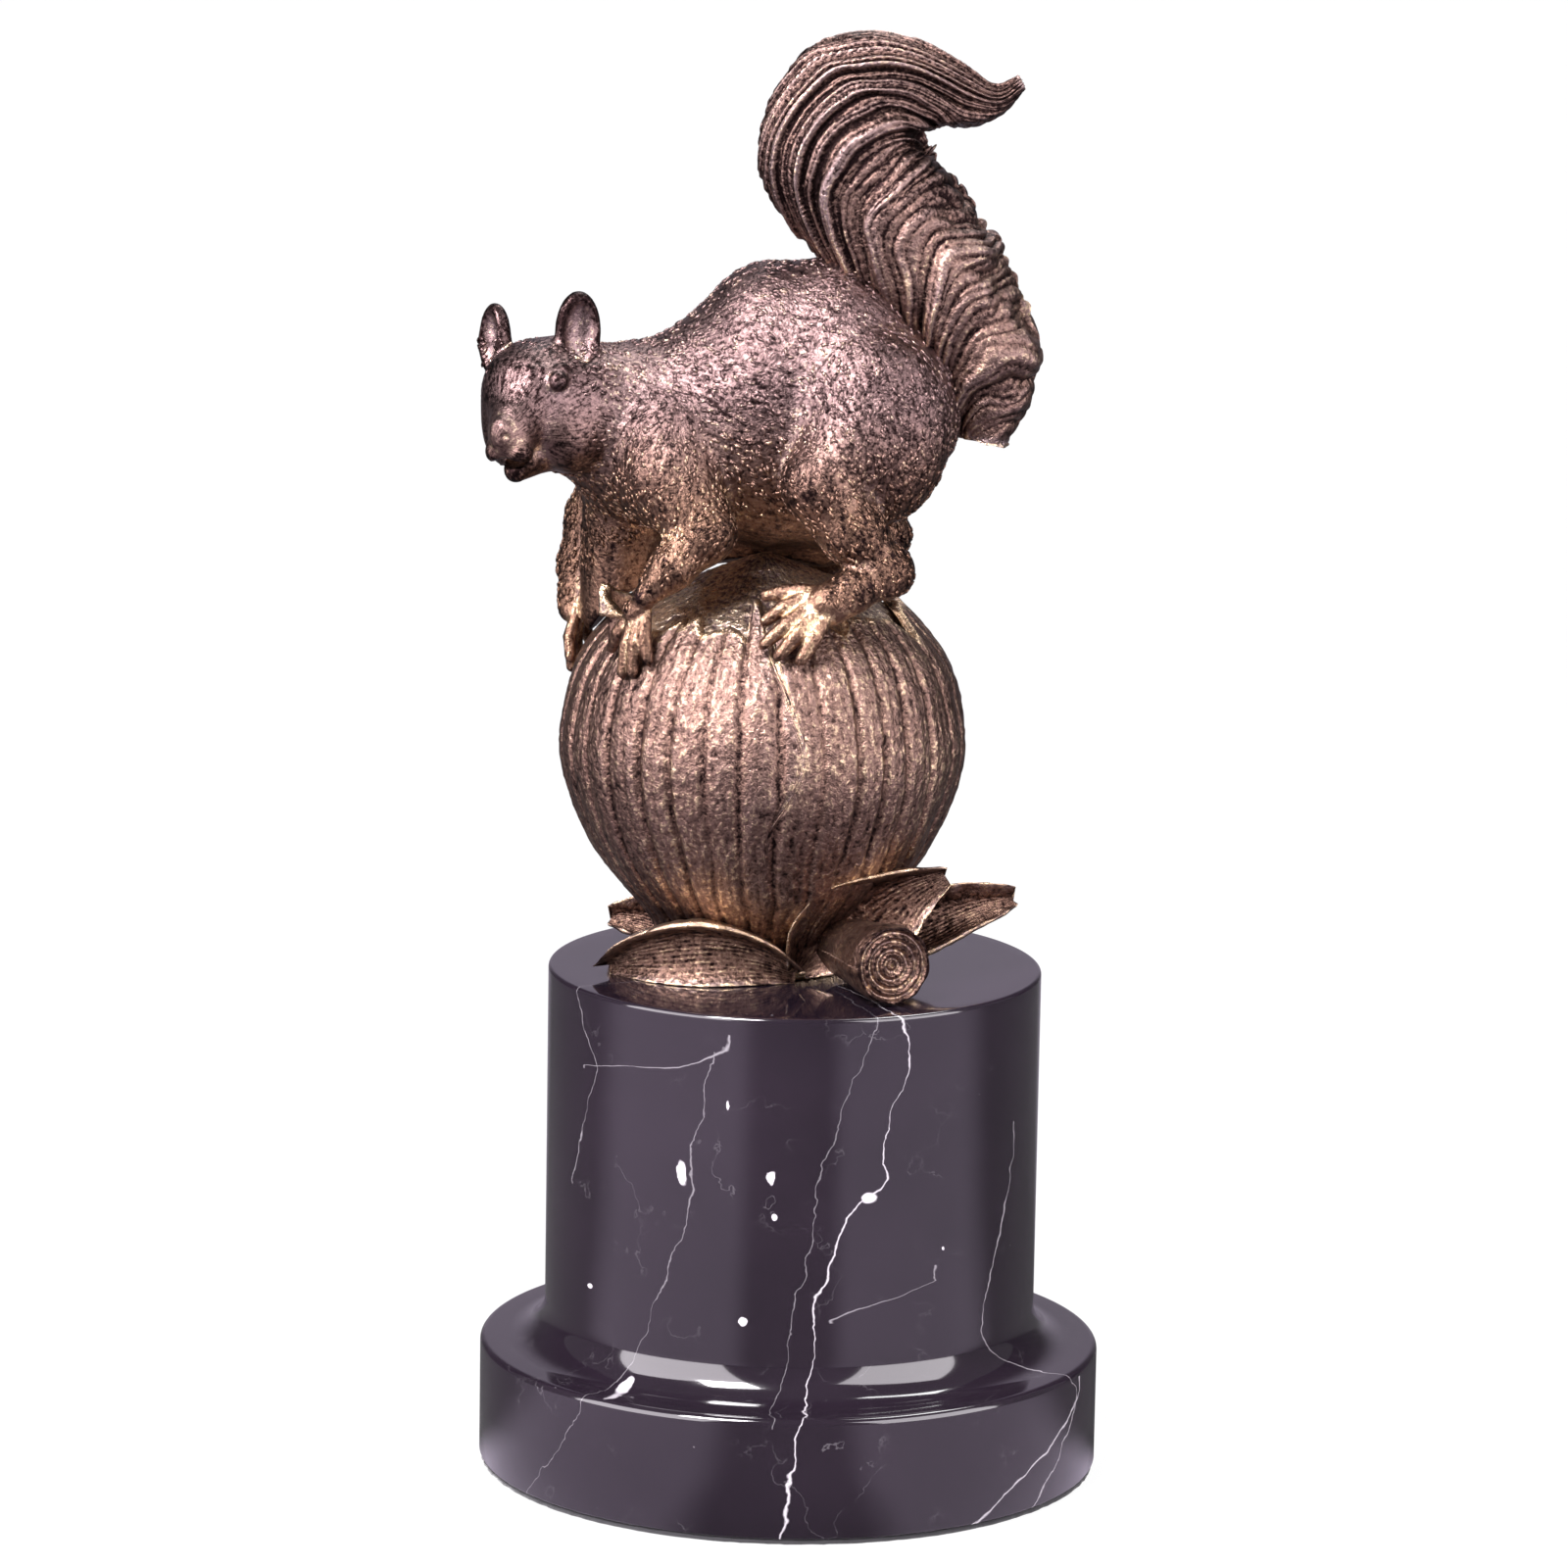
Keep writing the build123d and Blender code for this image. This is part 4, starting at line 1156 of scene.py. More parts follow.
@dataclass
class Plinth:
    """The turned marble plinth and its felt."""

    plate_radius: float = 60.0
    plate_top: float = 24.4
    drum_radius: float = 47.5
    drum_top: float = DRUM_TOP
    cove: float = 7.5
    plate_edge: float = 1.4
    drum_edge: float = 0.8
    bottom: float = 1.0
    felt_margin: float = 0.4
    felt_thick: float = 1.0
    steps: int = 256

    def arc(self, centre: tuple[float, float], radius: float, start: float, stop: float,
            steps: int = 10) -> list[tuple[float, float]]:
        """Draw an arc of the plinth's profile.

        Args:
            centre: Its centre, as radius and height.
            radius: Its radius.
            start: Its first angle, in degrees.
            stop: Its last angle.
            steps: How many points it has.

        Returns:
            Its points.
        """
        turns = np.radians(np.linspace(start, stop, steps))
        return [(centre[0] + radius * math.cos(t), centre[1] + radius * math.sin(t)) for t in turns]

    def profile(self) -> Array:
        """Draw the turned outline, from the middle of the underside to the middle of the top.

        Returns:
            Rows of radius and height.
        """
        edge, lip = self.plate_edge, self.drum_edge
        points = [(0.0, self.bottom), (20, self.bottom), (59.2, self.bottom), (59.7, self.bottom + 0.15),
                  (self.plate_radius, self.bottom + 0.6), (self.plate_radius, 12.0)]
        points += self.arc((self.plate_radius - edge, self.plate_top - edge), edge, 0, 90)
        hollow = (self.drum_radius + self.cove, self.plate_top + self.cove)
        points += self.arc(hollow, self.cove, 270, 180, 24)
        points += [(self.drum_radius, height) for height in np.linspace(40, self.drum_top - lip - 0.3, 8)]
        points += self.arc((self.drum_radius - lip, self.drum_top - lip), lip, 0, 90)
        points += [(radius, self.drum_top) for radius in (44, 36, 24, 12, 0.0)]
        return np.array(points)

    def build_stone(self, finish: bpy.types.Material) -> bpy.types.Object:
        """Turn the plinth from its profile.

        Args:
            finish: Its material.

        Returns:
            The plinth.
        """
        profile = self.profile()
        mesh = bpy.data.meshes.new("turned_plinth")
        mesh.from_pydata([(radius * MM, 0.0, height * MM) for radius, height in profile],
                         [(index, index + 1) for index in range(len(profile) - 1)], [])
        obj = bpy.data.objects.new("turned_plinth", mesh)
        bpy.context.scene.collection.objects.link(obj)
        apply_tree(obj, turning_tree(), {"Steps": self.steps, "Weld": 1e-6, "Finish": finish})
        return obj

    def build_felt(self, finish: bpy.types.Material) -> bpy.types.Object:
        """Cut the felt disc, a little uneven at its edge.

        Args:
            finish: Its material.

        Returns:
            The felt.
        """
        radius = self.plate_radius - self.felt_margin
        low, high = 0.02, self.felt_thick - 0.01
        profile = np.array([(0.01, low), (30, low), (radius - 0.4, low), (radius, 0.25), (radius, 0.75),
                            (radius - 0.3, high), (30, high), (0.01, high)])
        grid = lathe(profile, 360)
        shape = sheet_of(grid, True, True, True)
        out = np.hypot(shape.points[:, 0], shape.points[:, 1])
        rim = smooth_step(radius - 2, radius, out) * 0.22 * lattice(shape.points, 1.4, 5)
        shape.points[:, :2] *= (1 + rim / np.maximum(out, 1))[:, None]
        return to_object("felt_disc", shape, finish)


# ---- bronze: nut, husk, leaves and twig --------------------------------------------------------


@dataclass
class Hazelnut:
    """The kernel and the ribbed husk round it."""

    centre: Triple = (-7.0, 3.0, 143.0)
    radius: float = 39.0
    wall: float = 2.5
    kernel_clearance: float = 0.3
    stand: float = 45.0
    ribs: int = 34
    groove: float = 0.75
    flap_turn: float = -157.0
    slit_turn: float = -90.0
    slit_slant: float = 22.0
    crown: tuple[tuple[float, float], ...] = (
        (0.5426, -0.84), (0.85, -0.55), (0.985, -0.2), (1.0, 0.0), (0.985, 0.17), (0.93, 0.333), (0.86, 0.46),
        (0.74, 0.600), (0.58, 0.71), (0.40, 0.800), (0.20, 0.885), (0.06, 0.94), (0.003, 0.955),
    )
    sides: tuple[tuple[float, float], ...] = (
        (0.487, -1.1535), (0.555, -0.930), (0.815, -0.600), (0.975, -0.231), (0.995, 0.090), (0.865, 0.450),
        (0.500, 0.830),
    )
    rim: tuple[tuple[float, float], ...] = (
        (-180, 37), (-170, 38), (-165, 44), (-161, 47), (-158, 51), (-155.5, 46), (-153, 40), (-148, 37),
        (-140, 35), (-131, 36), (-126, 40), (-123, 38), (-119, 42), (-115, 36.5), (-110, 37.5), (-104, 39),
        (-100, 38), (-97, 35.5), (-95, 43), (-92.5, 49), (-90.5, 46), (-89.3, 34), (-88.3, 17), (-87.2, 36),
        (-85, 41), (-78, 43), (-66, 41), (-58, 36), (-52, 42), (-30, 39), (-20, 31), (-14, 40), (0, 42),
        (20, 45), (40, 30), (46, 42), (60, 45), (80, 41), (100, 46), (120, 27), (126, 42), (140, 44),
        (160, 33), (166, 43), (180, 37),
    )

    def build_kernel(self, finish: bpy.types.Material) -> bpy.types.Object:
        """Make the kernel, with the grainy skin of a real nut.

        Args:
            finish: Its material.

        Returns:
            The kernel.
        """
        radius = self.radius - self.wall
        rows = spline([(across * radius, up * radius, 0.0) for across, up in self.crown], 190)
        shape = sheet_of(lathe(rows[:, :2], 420, self.centre), True, True, True)
        normals = shape.normals()
        grain = 0.16 * lattice(shape.points, 0.9, 3) + 0.12 * lattice(shape.points, 1.9, 4)
        top = smooth_step(self.centre[2] + 12, self.centre[2] + 22, shape.points[:, 2])
        shape.points += normals * (grain * top)[:, None]
        away = np.arctan2(shape.points[:, 1] - self.centre[1], shape.points[:, 0] - self.centre[0])
        shape.flow = np.stack([shape.points[:, 2], away * radius * 0.6], axis=1)
        # The 0.38 of more rubbing is painted light: it lightens the whole kernel, which lies in the belly's
        # shade, as a reflection would.
        shape.age(0.34, 1.4, 0.0, 0.38)
        return to_object("nut_kernel", shape, finish)

    def side_radius(self, height: Array) -> Array:
        """Return the husk's radius at heights, as a share of the nut's, from the drawn side."""
        rows = spline([(across, up, 0.0) for across, up in self.sides], 200)
        return np.interp(height, rows[:, 1], rows[:, 0])

    def build_husk(self, finish: bpy.types.Material) -> bpy.types.Object:
        """Make the ribbed husk up to its torn rim and a little way down inside it.

        Args:
            finish: Its material.

        Returns:
            The husk.
        """
        columns, rows, inner_rows = 620, 118, 16
        turn = np.linspace(-180, 180, columns, endpoint=False)
        rim = np.interp(turn, [a for a, _ in self.rim], [e for _, e in self.rim])
        rim_height = np.sin(np.radians(rim))
        bottom = -self.stand / self.radius
        share = np.linspace(0, 1, rows)[:, None]
        height = bottom + (rim_height - bottom) * share
        radius = self.side_radius(height)
        flap = np.exp(-((turn - self.flap_turn) / 6.5)**2)
        radius = np.where(height > 0.62, np.maximum(radius, radius + (0.885 - radius) * flap), radius)
        slant = np.exp(-((turn - self.slit_turn) / 15)**2) * smooth_step(-0.4, 0.2, height)
        slant *= self.slit_slant * (0.62 - height)
        angle = np.radians(turn[None, :] + slant)
        place = np.stack([np.cos(angle) * radius, np.sin(angle) * radius, height], axis=-1) * self.radius
        flat = place.reshape(-1, 3)
        sway = lattice(flat * np.array([1, 1, 0.25]), 9.0, 11).reshape(rows, columns)
        phase = (angle + 0.035 * sway) * self.ribs / (2 * math.pi)
        phase += 0.32 * np.sin(phase * 2 * math.pi / 5.0) / (2 * math.pi) * 2
        side = np.abs(phase - np.rint(phase)) * 2
        depth = 0.75 + 0.5 * lattice(np.stack([np.rint(phase), 0 * phase, height * 3], -1).reshape(-1, 3),
                                     1.0, 12).reshape(rows, columns)
        grooves = -self.groove * depth * np.exp(-(side / 0.20)**2) + 0.22 * (1 - (1 - side)**2)
        second = np.abs(phase * 3.3 - np.rint(phase * 3.3)) * 2
        grooves -= 0.10 * np.exp(-(second / 0.35)**2)
        rough = 0.15 * lattice(flat * np.array([1, 1, 0.7]), 1.0, 13) + 0.30 * lattice(flat, 7.0, 14)
        lift = grooves * smooth_step(bottom, bottom + 0.25, height) + rough.reshape(rows, columns)
        outward = np.stack([np.cos(angle), np.sin(angle), 0 * angle], -1)
        outer = place + outward * (lift - 0.35)[..., None]
        inner_share = np.linspace(1, 0.80, inner_rows)[:, None]
        inner_height = (bottom + (rim_height - bottom) * inner_share) * self.radius
        edge = outer[-1] - outward[-1] * 1.9
        inner = np.empty((inner_rows, columns, 3))
        reach = np.hypot(edge[:, 0], edge[:, 1])[None, :]
        wall_inside = self.side_radius(inner_height / self.radius) * self.radius - self.wall
        want = np.maximum(reach, wall_inside + 0.25)
        want[0] = reach
        inner[..., 0] = np.cos(angle[0]) * want
        inner[..., 1] = np.sin(angle[0]) * want
        inner[..., 2] = np.minimum(inner_height, outer[-1, :, 2])
        grid = np.concatenate([outer, inner], axis=0) + np.array(self.centre)
        shape = sheet_of(grid, True, True)
        across = np.concatenate([phase, np.repeat(phase[-1:], inner_rows, axis=0)]).ravel() * 7.0
        shape.flow = np.stack([shape.points[:, 2], np.append(across, 0.0)], axis=1)
        worn = 0.10 * smooth_step(-0.3, 0.6, lattice(shape.points, 16.0, 15))
        edge_worn = np.zeros(len(shape.points))
        edge_worn[(rows - 2) * columns:(rows + 1) * columns] = 0.16
        shape.age(0.50, 2.6, 0.60, worn + edge_worn + 0.03)
        return to_object("husk_cup", shape, finish)


@dataclass
class Leaf:
    """One thick curled leaf: stations along its middle with half heights, and the way it opens."""

    name: str
    node: str
    stations: tuple[tuple[float, float, float, float], ...]
    lean: Triple
    thickness: float = 4.2
    bow: float = 0.62
    ribs: float = 7.0
    seed: int = 1

    def build(self, finish: bpy.types.Material) -> bpy.types.Object:
        """Sweep the leaf, ribbed along its hollow and rolled at its upper edge.

        Args:
            finish: Its material.

        Returns:
            The leaf.
        """
        count, around = 130, 96
        rows = spline(self.stations, count)
        middle, half = rows[:, :3], rows[:, 3]
        ahead = np.gradient(middle, axis=0)
        ahead /= np.linalg.norm(ahead, axis=1, keepdims=True)
        lean = np.array(self.lean) / np.linalg.norm(self.lean)
        open_way = lean - ahead * (ahead @ lean)[:, None]
        open_way /= np.linalg.norm(open_way, axis=1, keepdims=True)
        up = np.cross(ahead, open_way)
        up *= np.sign(up[:, 2:3] + 1e-9)
        t = np.linspace(0, 1, around, endpoint=False)
        front = t < 0.5
        q = np.where(front, 1 - 4 * t, 4 * (t - 0.5) - 1)
        wall = self.thickness * 0.42
        taper = np.sqrt(np.clip(np.sin(np.linspace(0.02, 0.98, count) * np.pi), 0, 1))[:, None]
        hollow = -self.bow * half[:, None] * (1 - q**2)[None, :]
        roll = 1.9 * wall * np.exp(-((q - 1) / 0.26)**2)[None, :] * (0.6 + 0.4 * taper)
        thick = (wall * (0.45 + 0.55 * taper)) + roll
        drift = 0.12 * np.sin(np.linspace(0, 5, count))[:, None]
        strand = np.abs(((q[None, :] + drift) * self.ribs) % 1 - 0.5) * 2
        clear = smooth_step(-0.95, -0.7, q) * (1 - smooth_step(0.72, 0.9, q))
        ridge = 0.32 * (strand - 0.5) * clear[None, :]
        offset = np.where(front[None, :], hollow + thick + ridge * taper, hollow - 0.25 * roll)
        height = q[None, :] * half[:, None]
        grid = middle[:, None, :] + open_way[:, None, :] * offset[..., None]
        grid = grid + up[:, None, :] * height[..., None]
        shape = sheet_of(grid, True, True, True)
        volume = np.einsum("ij,ij->", shape.normals(), shape.points - shape.points.mean(axis=0))
        if volume < 0:
            shape.turn_over(split_kept=False)
        shape.points += shape.normals() * (0.18 * lattice(shape.points, 1.6, self.seed))[:, None]
        along = np.repeat(np.linspace(0, 40, count), around)
        shape.flow = np.vstack([np.stack([along, np.tile(q * 12, count)], axis=1), [[0, 0], [40, 0]]])
        shape.points[:, 2] = np.maximum(shape.points[:, 2], DRUM_TOP)
        shape.age(0.30, 1.1, 0.70, 0.04)
        return to_object(self.name, shape, finish)


@dataclass
class Twig:
    """The cut twig that lies on the plinth, with rings on its face."""

    root: Triple = (9.0, -11.8, 104.6)
    direction: Triple = (0.372, -0.925, 0.05)
    length: float = 25.6
    radii: tuple[float, ...] = (5.55, 6.3, 7.5, 7.2)
    rings: float = 4.2

    def build(self, finish: bpy.types.Material) -> bpy.types.Object:
        """Make the bark, the cut face and its rings.

        Args:
            finish: Its material.

        Returns:
            The twig.
        """
        ahead = np.array(self.direction) / np.linalg.norm(self.direction)
        side = np.cross(ahead, (0, 0, 1.0))
        side /= np.linalg.norm(side)
        up = np.cross(side, ahead)
        around, bark_rows, cut_rows = 200, 90, 46
        turn = np.linspace(0, 2 * np.pi, around, endpoint=False)
        share = np.linspace(0, 1, bark_rows)
        radius = np.interp(share, (0, 0.5, 0.9, 1.0), self.radii)
        rows = [(share[k] * self.length, radius[k]) for k in range(bark_rows)]
        for k in range(1, cut_rows):
            inward = 1 - k / cut_rows
            ring = 0.42 * math.sin(inward * self.rings * 2 * math.pi) * (k < cut_rows - 2)
            rows.append((self.length - 0.35 - 0.55 * (1 - inward) + ring, self.radii[-1] * inward * 0.97))
        grid = np.empty((len(rows), around, 3))
        for index, (reach, size) in enumerate(rows):
            ring_turn = turn + (0.9 * (index - bark_rows) / cut_rows if index >= bark_rows else 0)
            ring = side[None] * np.cos(ring_turn)[:, None] + up[None] * np.sin(ring_turn)[:, None]
            grid[index] = np.array(self.root) + ahead * reach + ring * size
        shape = sheet_of(grid, True, True, True)
        shape.turn_over()
        bark = np.zeros(len(shape.points))
        angle = np.tile(turn, len(rows))
        body = np.arange(len(angle)) < bark_rows * around
        skin = shape.points[:len(angle)]
        wave = 0.35 * np.sin(angle * 9 + 0.8 * np.sin(angle * 3)) + 0.5 * lattice(skin, 3.0, 21)
        bark[:len(angle)] = np.where(body, wave * 0.8, 0.25 * lattice(skin, 1.2, 22))
        shape.points -= shape.normals() * (0.5 * bark)[:, None]
        along = np.repeat([reach for reach, _ in rows], around)
        shape.flow = np.vstack([np.stack([along, angle * 6], axis=1), [[0, 0], [26, 0]]])
        shape.points[:, 2] = np.maximum(shape.points[:, 2], DRUM_TOP)
        shape.age(0.26, 1.0, 0.6, 0.10, Rubbed.SUNK)
        return to_object("twig_end", shape, finish)


# ---- bronze: the squirrel ----------------------------------------------------------------------


class Part(Enum):
    """The cast sections of the squirrel, by number."""

    TORSO = 0
    HEAD = 1
    LEFT_FORELEG = 2
    RIGHT_FORELEG = 3
    LEFT_HIND_LEG = 4
    RIGHT_HIND_LEG = 5


@dataclass
class Squirrel:
    """The squirrel's body, head and legs, pressed in clay and skinned as one."""

    nut_centre: Triple = (-7.0, 3.0, 143.0)
    nut_radius: float = 39.0
    middle: float = 3.0
    neck: Triple = (-40.7, -1.0, 205.0)
    head_turn: float = 67.0
    head_length: float = 30.0
    head_width: float = 26.0
    head_height: float = 30.0
    cell: float = 0.42
    stroke_density: float = 560000.0
    stroke_length: float = 0.85
    stroke_width: float = 0.36
    stroke_height: float = 0.26
    stroke_wander: float = 0.9
    stroke_sizes: tuple[float, float] = (0.65, 1.30)
    stroke_polish: float = 0.10
    polished: tuple[tuple[Triple, float], ...] = (((-56.2, -25.5, 203.9), 16.0), ((-46.6, -20.6, 213.2), 5.0))
    fingers: tuple[tuple[Triple, Triple, Triple], ...] = (
        ((-32.1, -19.6, 168.9), (-34.3, -18.9, 165.4), (-35.6, -16.7, 162.2)),
        ((-31.2, -20.8, 168.8), (-32.7, -22.1, 163.9), (-33.4, -22.4, 158.4)),
        ((-30.2, -21.5, 168.9), (-31.2, -23.3, 164.2), (-31.5, -23.9, 158.9)),
        ((-29.3, -21.7, 169.5), (-29.4, -23.8, 165.6), (-28.6, -24.8, 161.3)),
    )
    right_fingers: tuple[tuple[Triple, Triple, Triple], ...] = (
        ((-41.8, 15.7, 163.6), (-41.7, 18.1, 159.8), (-40.4, 20.0, 155.9)),
        ((-42.6, 13.9, 163.2), (-43.4, 15.5, 158.3), (-42.8, 16.7, 153.3)),
        ((-43.2, 12.0, 163.2), (-44.3, 12.3, 158.3), (-44.2, 12.3, 153.3)),
        ((-43.4, 10.1, 163.6), (-44.4, 8.9, 159.8), (-44.3, 7.6, 155.9)),
    )
    toes: tuple[tuple[Triple, Triple, Triple], ...] = (
        ((0.0, -24.3, 175.0), (-3.3, -23.9, 174.5), (-6.8, -22.3, 173.6)),
        ((1.0, -25.1, 174.0), (-3.2, -26.5, 172.1), (-6.7, -26.6, 169.5)),
        ((2.1, -26.0, 172.9), (-2.8, -29.0, 169.2), (-6.7, -29.6, 165.7)),
        ((3.4, -26.6, 171.9), (-0.7, -30.0, 167.6), (-4.0, -30.7, 163.7)),
        ((4.7, -27.0, 170.9), (2.4, -29.8, 166.8), (0.1, -30.6, 162.9)),
    )

    def in_head(self, along: float, across: float, up: float) -> Array:
        """Return a point placed by shares of the head's length, width and height."""
        ahead, side = unit_from(180 + self.head_turn, 0), unit_from(270 + self.head_turn, 0)
        return (np.array(self.neck) + ahead * (along * self.head_length) + side * (across * self.head_width)
                + np.array([0, 0, up * self.head_height]))

    def mirrored(self, place: Sequence[float], side: int) -> Array:
        """Return a place on the squirrel's left (side 1), or its mirror on the right (side -1)."""
        return np.array([place[0], self.middle + side * (place[1] - self.middle), place[2]])

    def press_digits(self, clay: Clay, digits: Iterable[tuple[Triple, Triple, Triple]], thick: float,
                     owner: int, wrist: Triple, side: int = 1) -> None:
        """Lay fingers or toes on the husk, fanned from the wrist, knuckled and clawed at the tip.

        Args:
            clay: The block.
            digits: Root, knuckle and tip of each digit.
            thick: How thick they are.
            owner: Number of the leg.
            wrist: Where they fan out from.
            side: 1 for left, -1 for right.
        """
        for places in digits:
            start, root, knuckle, tip = (self.mirrored(place, side) for place in (wrist, *places))
            claw = tip + 0.22 * (tip - knuckle) - 0.6 * (tip - np.array(self.nut_centre)) / self.nut_radius
            clay.cone(0.5 * (start + root), root, 0.34 * thick, 0.42 * thick, 0.35, owner)
            clay.cone(root, knuckle, 0.42 * thick, 0.46 * thick, 0.2, owner)
            clay.cone(knuckle, tip, 0.46 * thick, 0.34 * thick, 0.15, owner)
            clay.cone(tip, claw, 0.28 * thick, 0.08 * thick, 0.15, owner)

    def press_torso(self, clay: Clay) -> None:
        """Press the hunched body.

        Args:
            clay: The block.
        """
        y = self.middle
        for centre, radii in (
            ((-31, y - 1.5, 200.2), (14, 15.0, 16.6)),
            ((-19, y, 202.0), (15, 17.2, 20.6)),
            ((-7, y, 206.3), (17, 18.6, 27.2)),
            ((6, y, 207.0), (18, 19.2, 28.0)),
            ((18, y, 207.0), (12, 16.0, 16.0)),
        ):
            clay.egg(centre, radii, 5.0, Part.TORSO.value)
        clay.cone((-33, 1.5, 203), (-42, -2.5, 205.8), 13.4, 12.2, 5.0, Part.TORSO.value)
        clay.egg((-6, y + 9, 182), (21, 8, 9.5), 4.0, Part.TORSO.value)
        clay.cone((-33.5, 7, 187), (-35, 9, 166), 8.5, 7.5, 3.0, Part.TORSO.value)

    def press_legs(self, clay: Clay) -> None:
        """Press the four legs.

        Args:
            clay: The block.
        """
        for side, owner in ((1, Part.LEFT_HIND_LEG.value), (-1, Part.RIGHT_HIND_LEG.value)):

            def at(x: float, y: float, z: float) -> Array:
                """Return a place on the left, or its mirror on the right."""
                return self.mirrored((x, y, z), side)

            clay.egg(at(12.6, -10.3, 203.8), (14.8, 10.8, 18.6), 2.2, owner)
            clay.cone(at(9, -14.5, 201), at(3.2, -18.6, 194.5), 9.0, 7.0, 3.0, owner)
            clay.cone(at(3.2, -18.6, 194), at(9.4, -19.3, 185.5), 6.9, 5.9, 2.0, owner)
            clay.cone(at(9.4, -19.3, 185.5), at(15.3, -18.8, 178.3), 5.9, 4.5, 2.0, owner)
            clay.egg(at(16.2, -18.6, 178.2), (4.9, 4.4, 4.9), 1.5, owner)
            clay.cone(at(15.3, -19.0, 177.8), at(9.5, -22.8, 174.8), 4.5, 3.9, 1.8, owner)
            clay.cone(at(9.5, -22.8, 174.8), at(5.2, -24.6, 172.6), 3.9, 4.2, 1.8, owner)
            clay.egg(at(3.6, -25.0, 172.6), (3.8, 3.6, 2.8), 1.2, owner)
            self.press_digits(clay, self.toes, 3.4, owner, (9.5, -23.6, 174.5), side)
        left = Part.LEFT_FORELEG.value
        clay.egg((-25.5, -8.5, 196.5), (10.5, 9.5, 13.0), 3.5, left)
        clay.cone((-25.5, -12.5, 195), (-18.6, -16.5, 184.5), 8.4, 6.1, 2.5, left)
        clay.cone((-18.6, -16.5, 184.3), (-24.4, -20.0, 178.0), 5.4, 4.1, 2.0, left)
        clay.cone((-24.4, -20.0, 178.0), (-29.4, -21.8, 172.8), 4.1, 2.3, 1.6, left)
        clay.egg((-30.7, -20.8, 169.8), (2.7, 2.3, 2.6), 1.0, left)
        self.press_digits(clay, self.fingers, 3.1, left, (-30.3, -22.5, 172.0))
        right = Part.RIGHT_FORELEG.value
        clay.egg((-32.5, 12.5, 195), (9.5, 9.0, 12.5), 3.5, right)
        clay.cone((-34, 16.8, 191.5), (-39.6, 18.9, 181.5), 8.0, 5.9, 2.5, right)
        clay.cone((-39.6, 18.9, 181.5), (-42.5, 16.8, 172.5), 5.9, 4.4, 2.0, right)
        clay.cone((-42.5, 16.8, 172.5), (-43.8, 13.8, 166.8), 4.4, 3.0, 1.6, right)
        clay.egg((-43.9, 12.6, 164.4), (2.8, 3.0, 2.6), 1.0, right)
        self.press_digits(clay, self.right_fingers, 2.9, right, (-44.0, 13.6, 168.5))

    def press_head(self, clay: Clay) -> None:
        """Press the head: skull, muzzle, jaw, cheeks, brows, lids, eyes, nose and ears.

        Args:
            clay: The block.
        """
        head = Part.HEAD.value
        ahead = unit_from(180 + self.head_turn, 0)
        down = unit_from(180 + self.head_turn, -20)
        clay.egg(self.in_head(0.24, -0.17, 0.08), (12.2, 12.0, 12.2), 4.0, head, ahead)
        clay.egg(self.in_head(0.47, -0.225, 0.15), (9.2, 9.2, 9.6), 3.5, head, down)
        muzzle = unit_from(180 + self.head_turn + 3, -30)
        clay.egg(self.in_head(0.70, -0.195, 0.010), (9.4, 5.0, 5.9), 3.0, head, muzzle)
        for across, wide in ((0.06, 5.6), (-0.42, 4.3)):
            clay.egg(self.in_head(0.40, across, -0.10), (7.2, wide, 6.8), 3.5, head, ahead)
            clay.egg(self.in_head(0.52, across * 0.86 - 0.03, 0.29), (4.2, 2.2, 1.5), 2.0, head, down)
        for across in (-0.085, -0.265):
            clay.egg(self.in_head(0.860, across, -0.160), (2.9, 2.3, 2.6), 0.6, head, ahead)
        clay.cone(self.in_head(0.48, -0.19, -0.20), self.in_head(0.80, -0.155, -0.290), 4.8, 2.2, 1.8, head)
        mouth = unit_from(180 + self.head_turn, -8)
        clay.egg(self.in_head(0.90, -0.160, -0.236), (5.2, 3.6, 1.05), 0.4, -1, mouth)
        clay.egg((-56.2, -24.9, 203.9), (2.5, 2.5, 3.3), 0.4, head, ahead)
        clay.egg((-55.4, -27.3, 203.4), (0.7, 0.7, 0.7), 0.3, -1, ahead)
        clay.egg((-55.7, -12.4, 211.7), (3.4, 4.2, 4.7), 2.0, head, unit_from(205, 8))
        for place, turn in (((-46.6, -18.0, 212.9), 40), ((-56.3, -13.0, 212.0), -42)):
            look = unit_from(180 + self.head_turn + turn, 8)
            eye = np.array(place)
            clay.egg(eye + look * 2.6, (0.8, 2.7, 2.5), 0.8, -1, look)
            clay.egg(eye + look * 0.1, (2.2, 2.3, 2.0), 0.6, head, look)
            clay.egg(eye + look * 1.7, (1.9, 1.9, 1.9), 0.12, head, look)
        clay.cone((-49.2, -18.1, 214.2), (-45.2, -17.2, 215.4), 1.1, 0.9, 0.8, head)
        for top, foot in (((-53.4, -18.6, 214.6), (-53.6, -20.6, 209.3)),
                          ((-51.2, -18.8, 214.8), (-50.8, -20.4, 209.6)),
                          ((-49.2, -18.4, 214.8), (-49.2, -19.8, 211.0))):
            clay.cone(top, foot, 1.0, 0.6, 0.6, head)
        self.press_ear(clay, (-42.9, -9.2, 221.0), (4.5, 7.8), (0.38, -0.92, 0.05), (0.04, 0, 1))
        self.press_ear(clay, (-58.8, -3.0, 218.6), (3.8, 6.9), (-0.80, -0.60, 0.05), (-0.10, 0, 1))

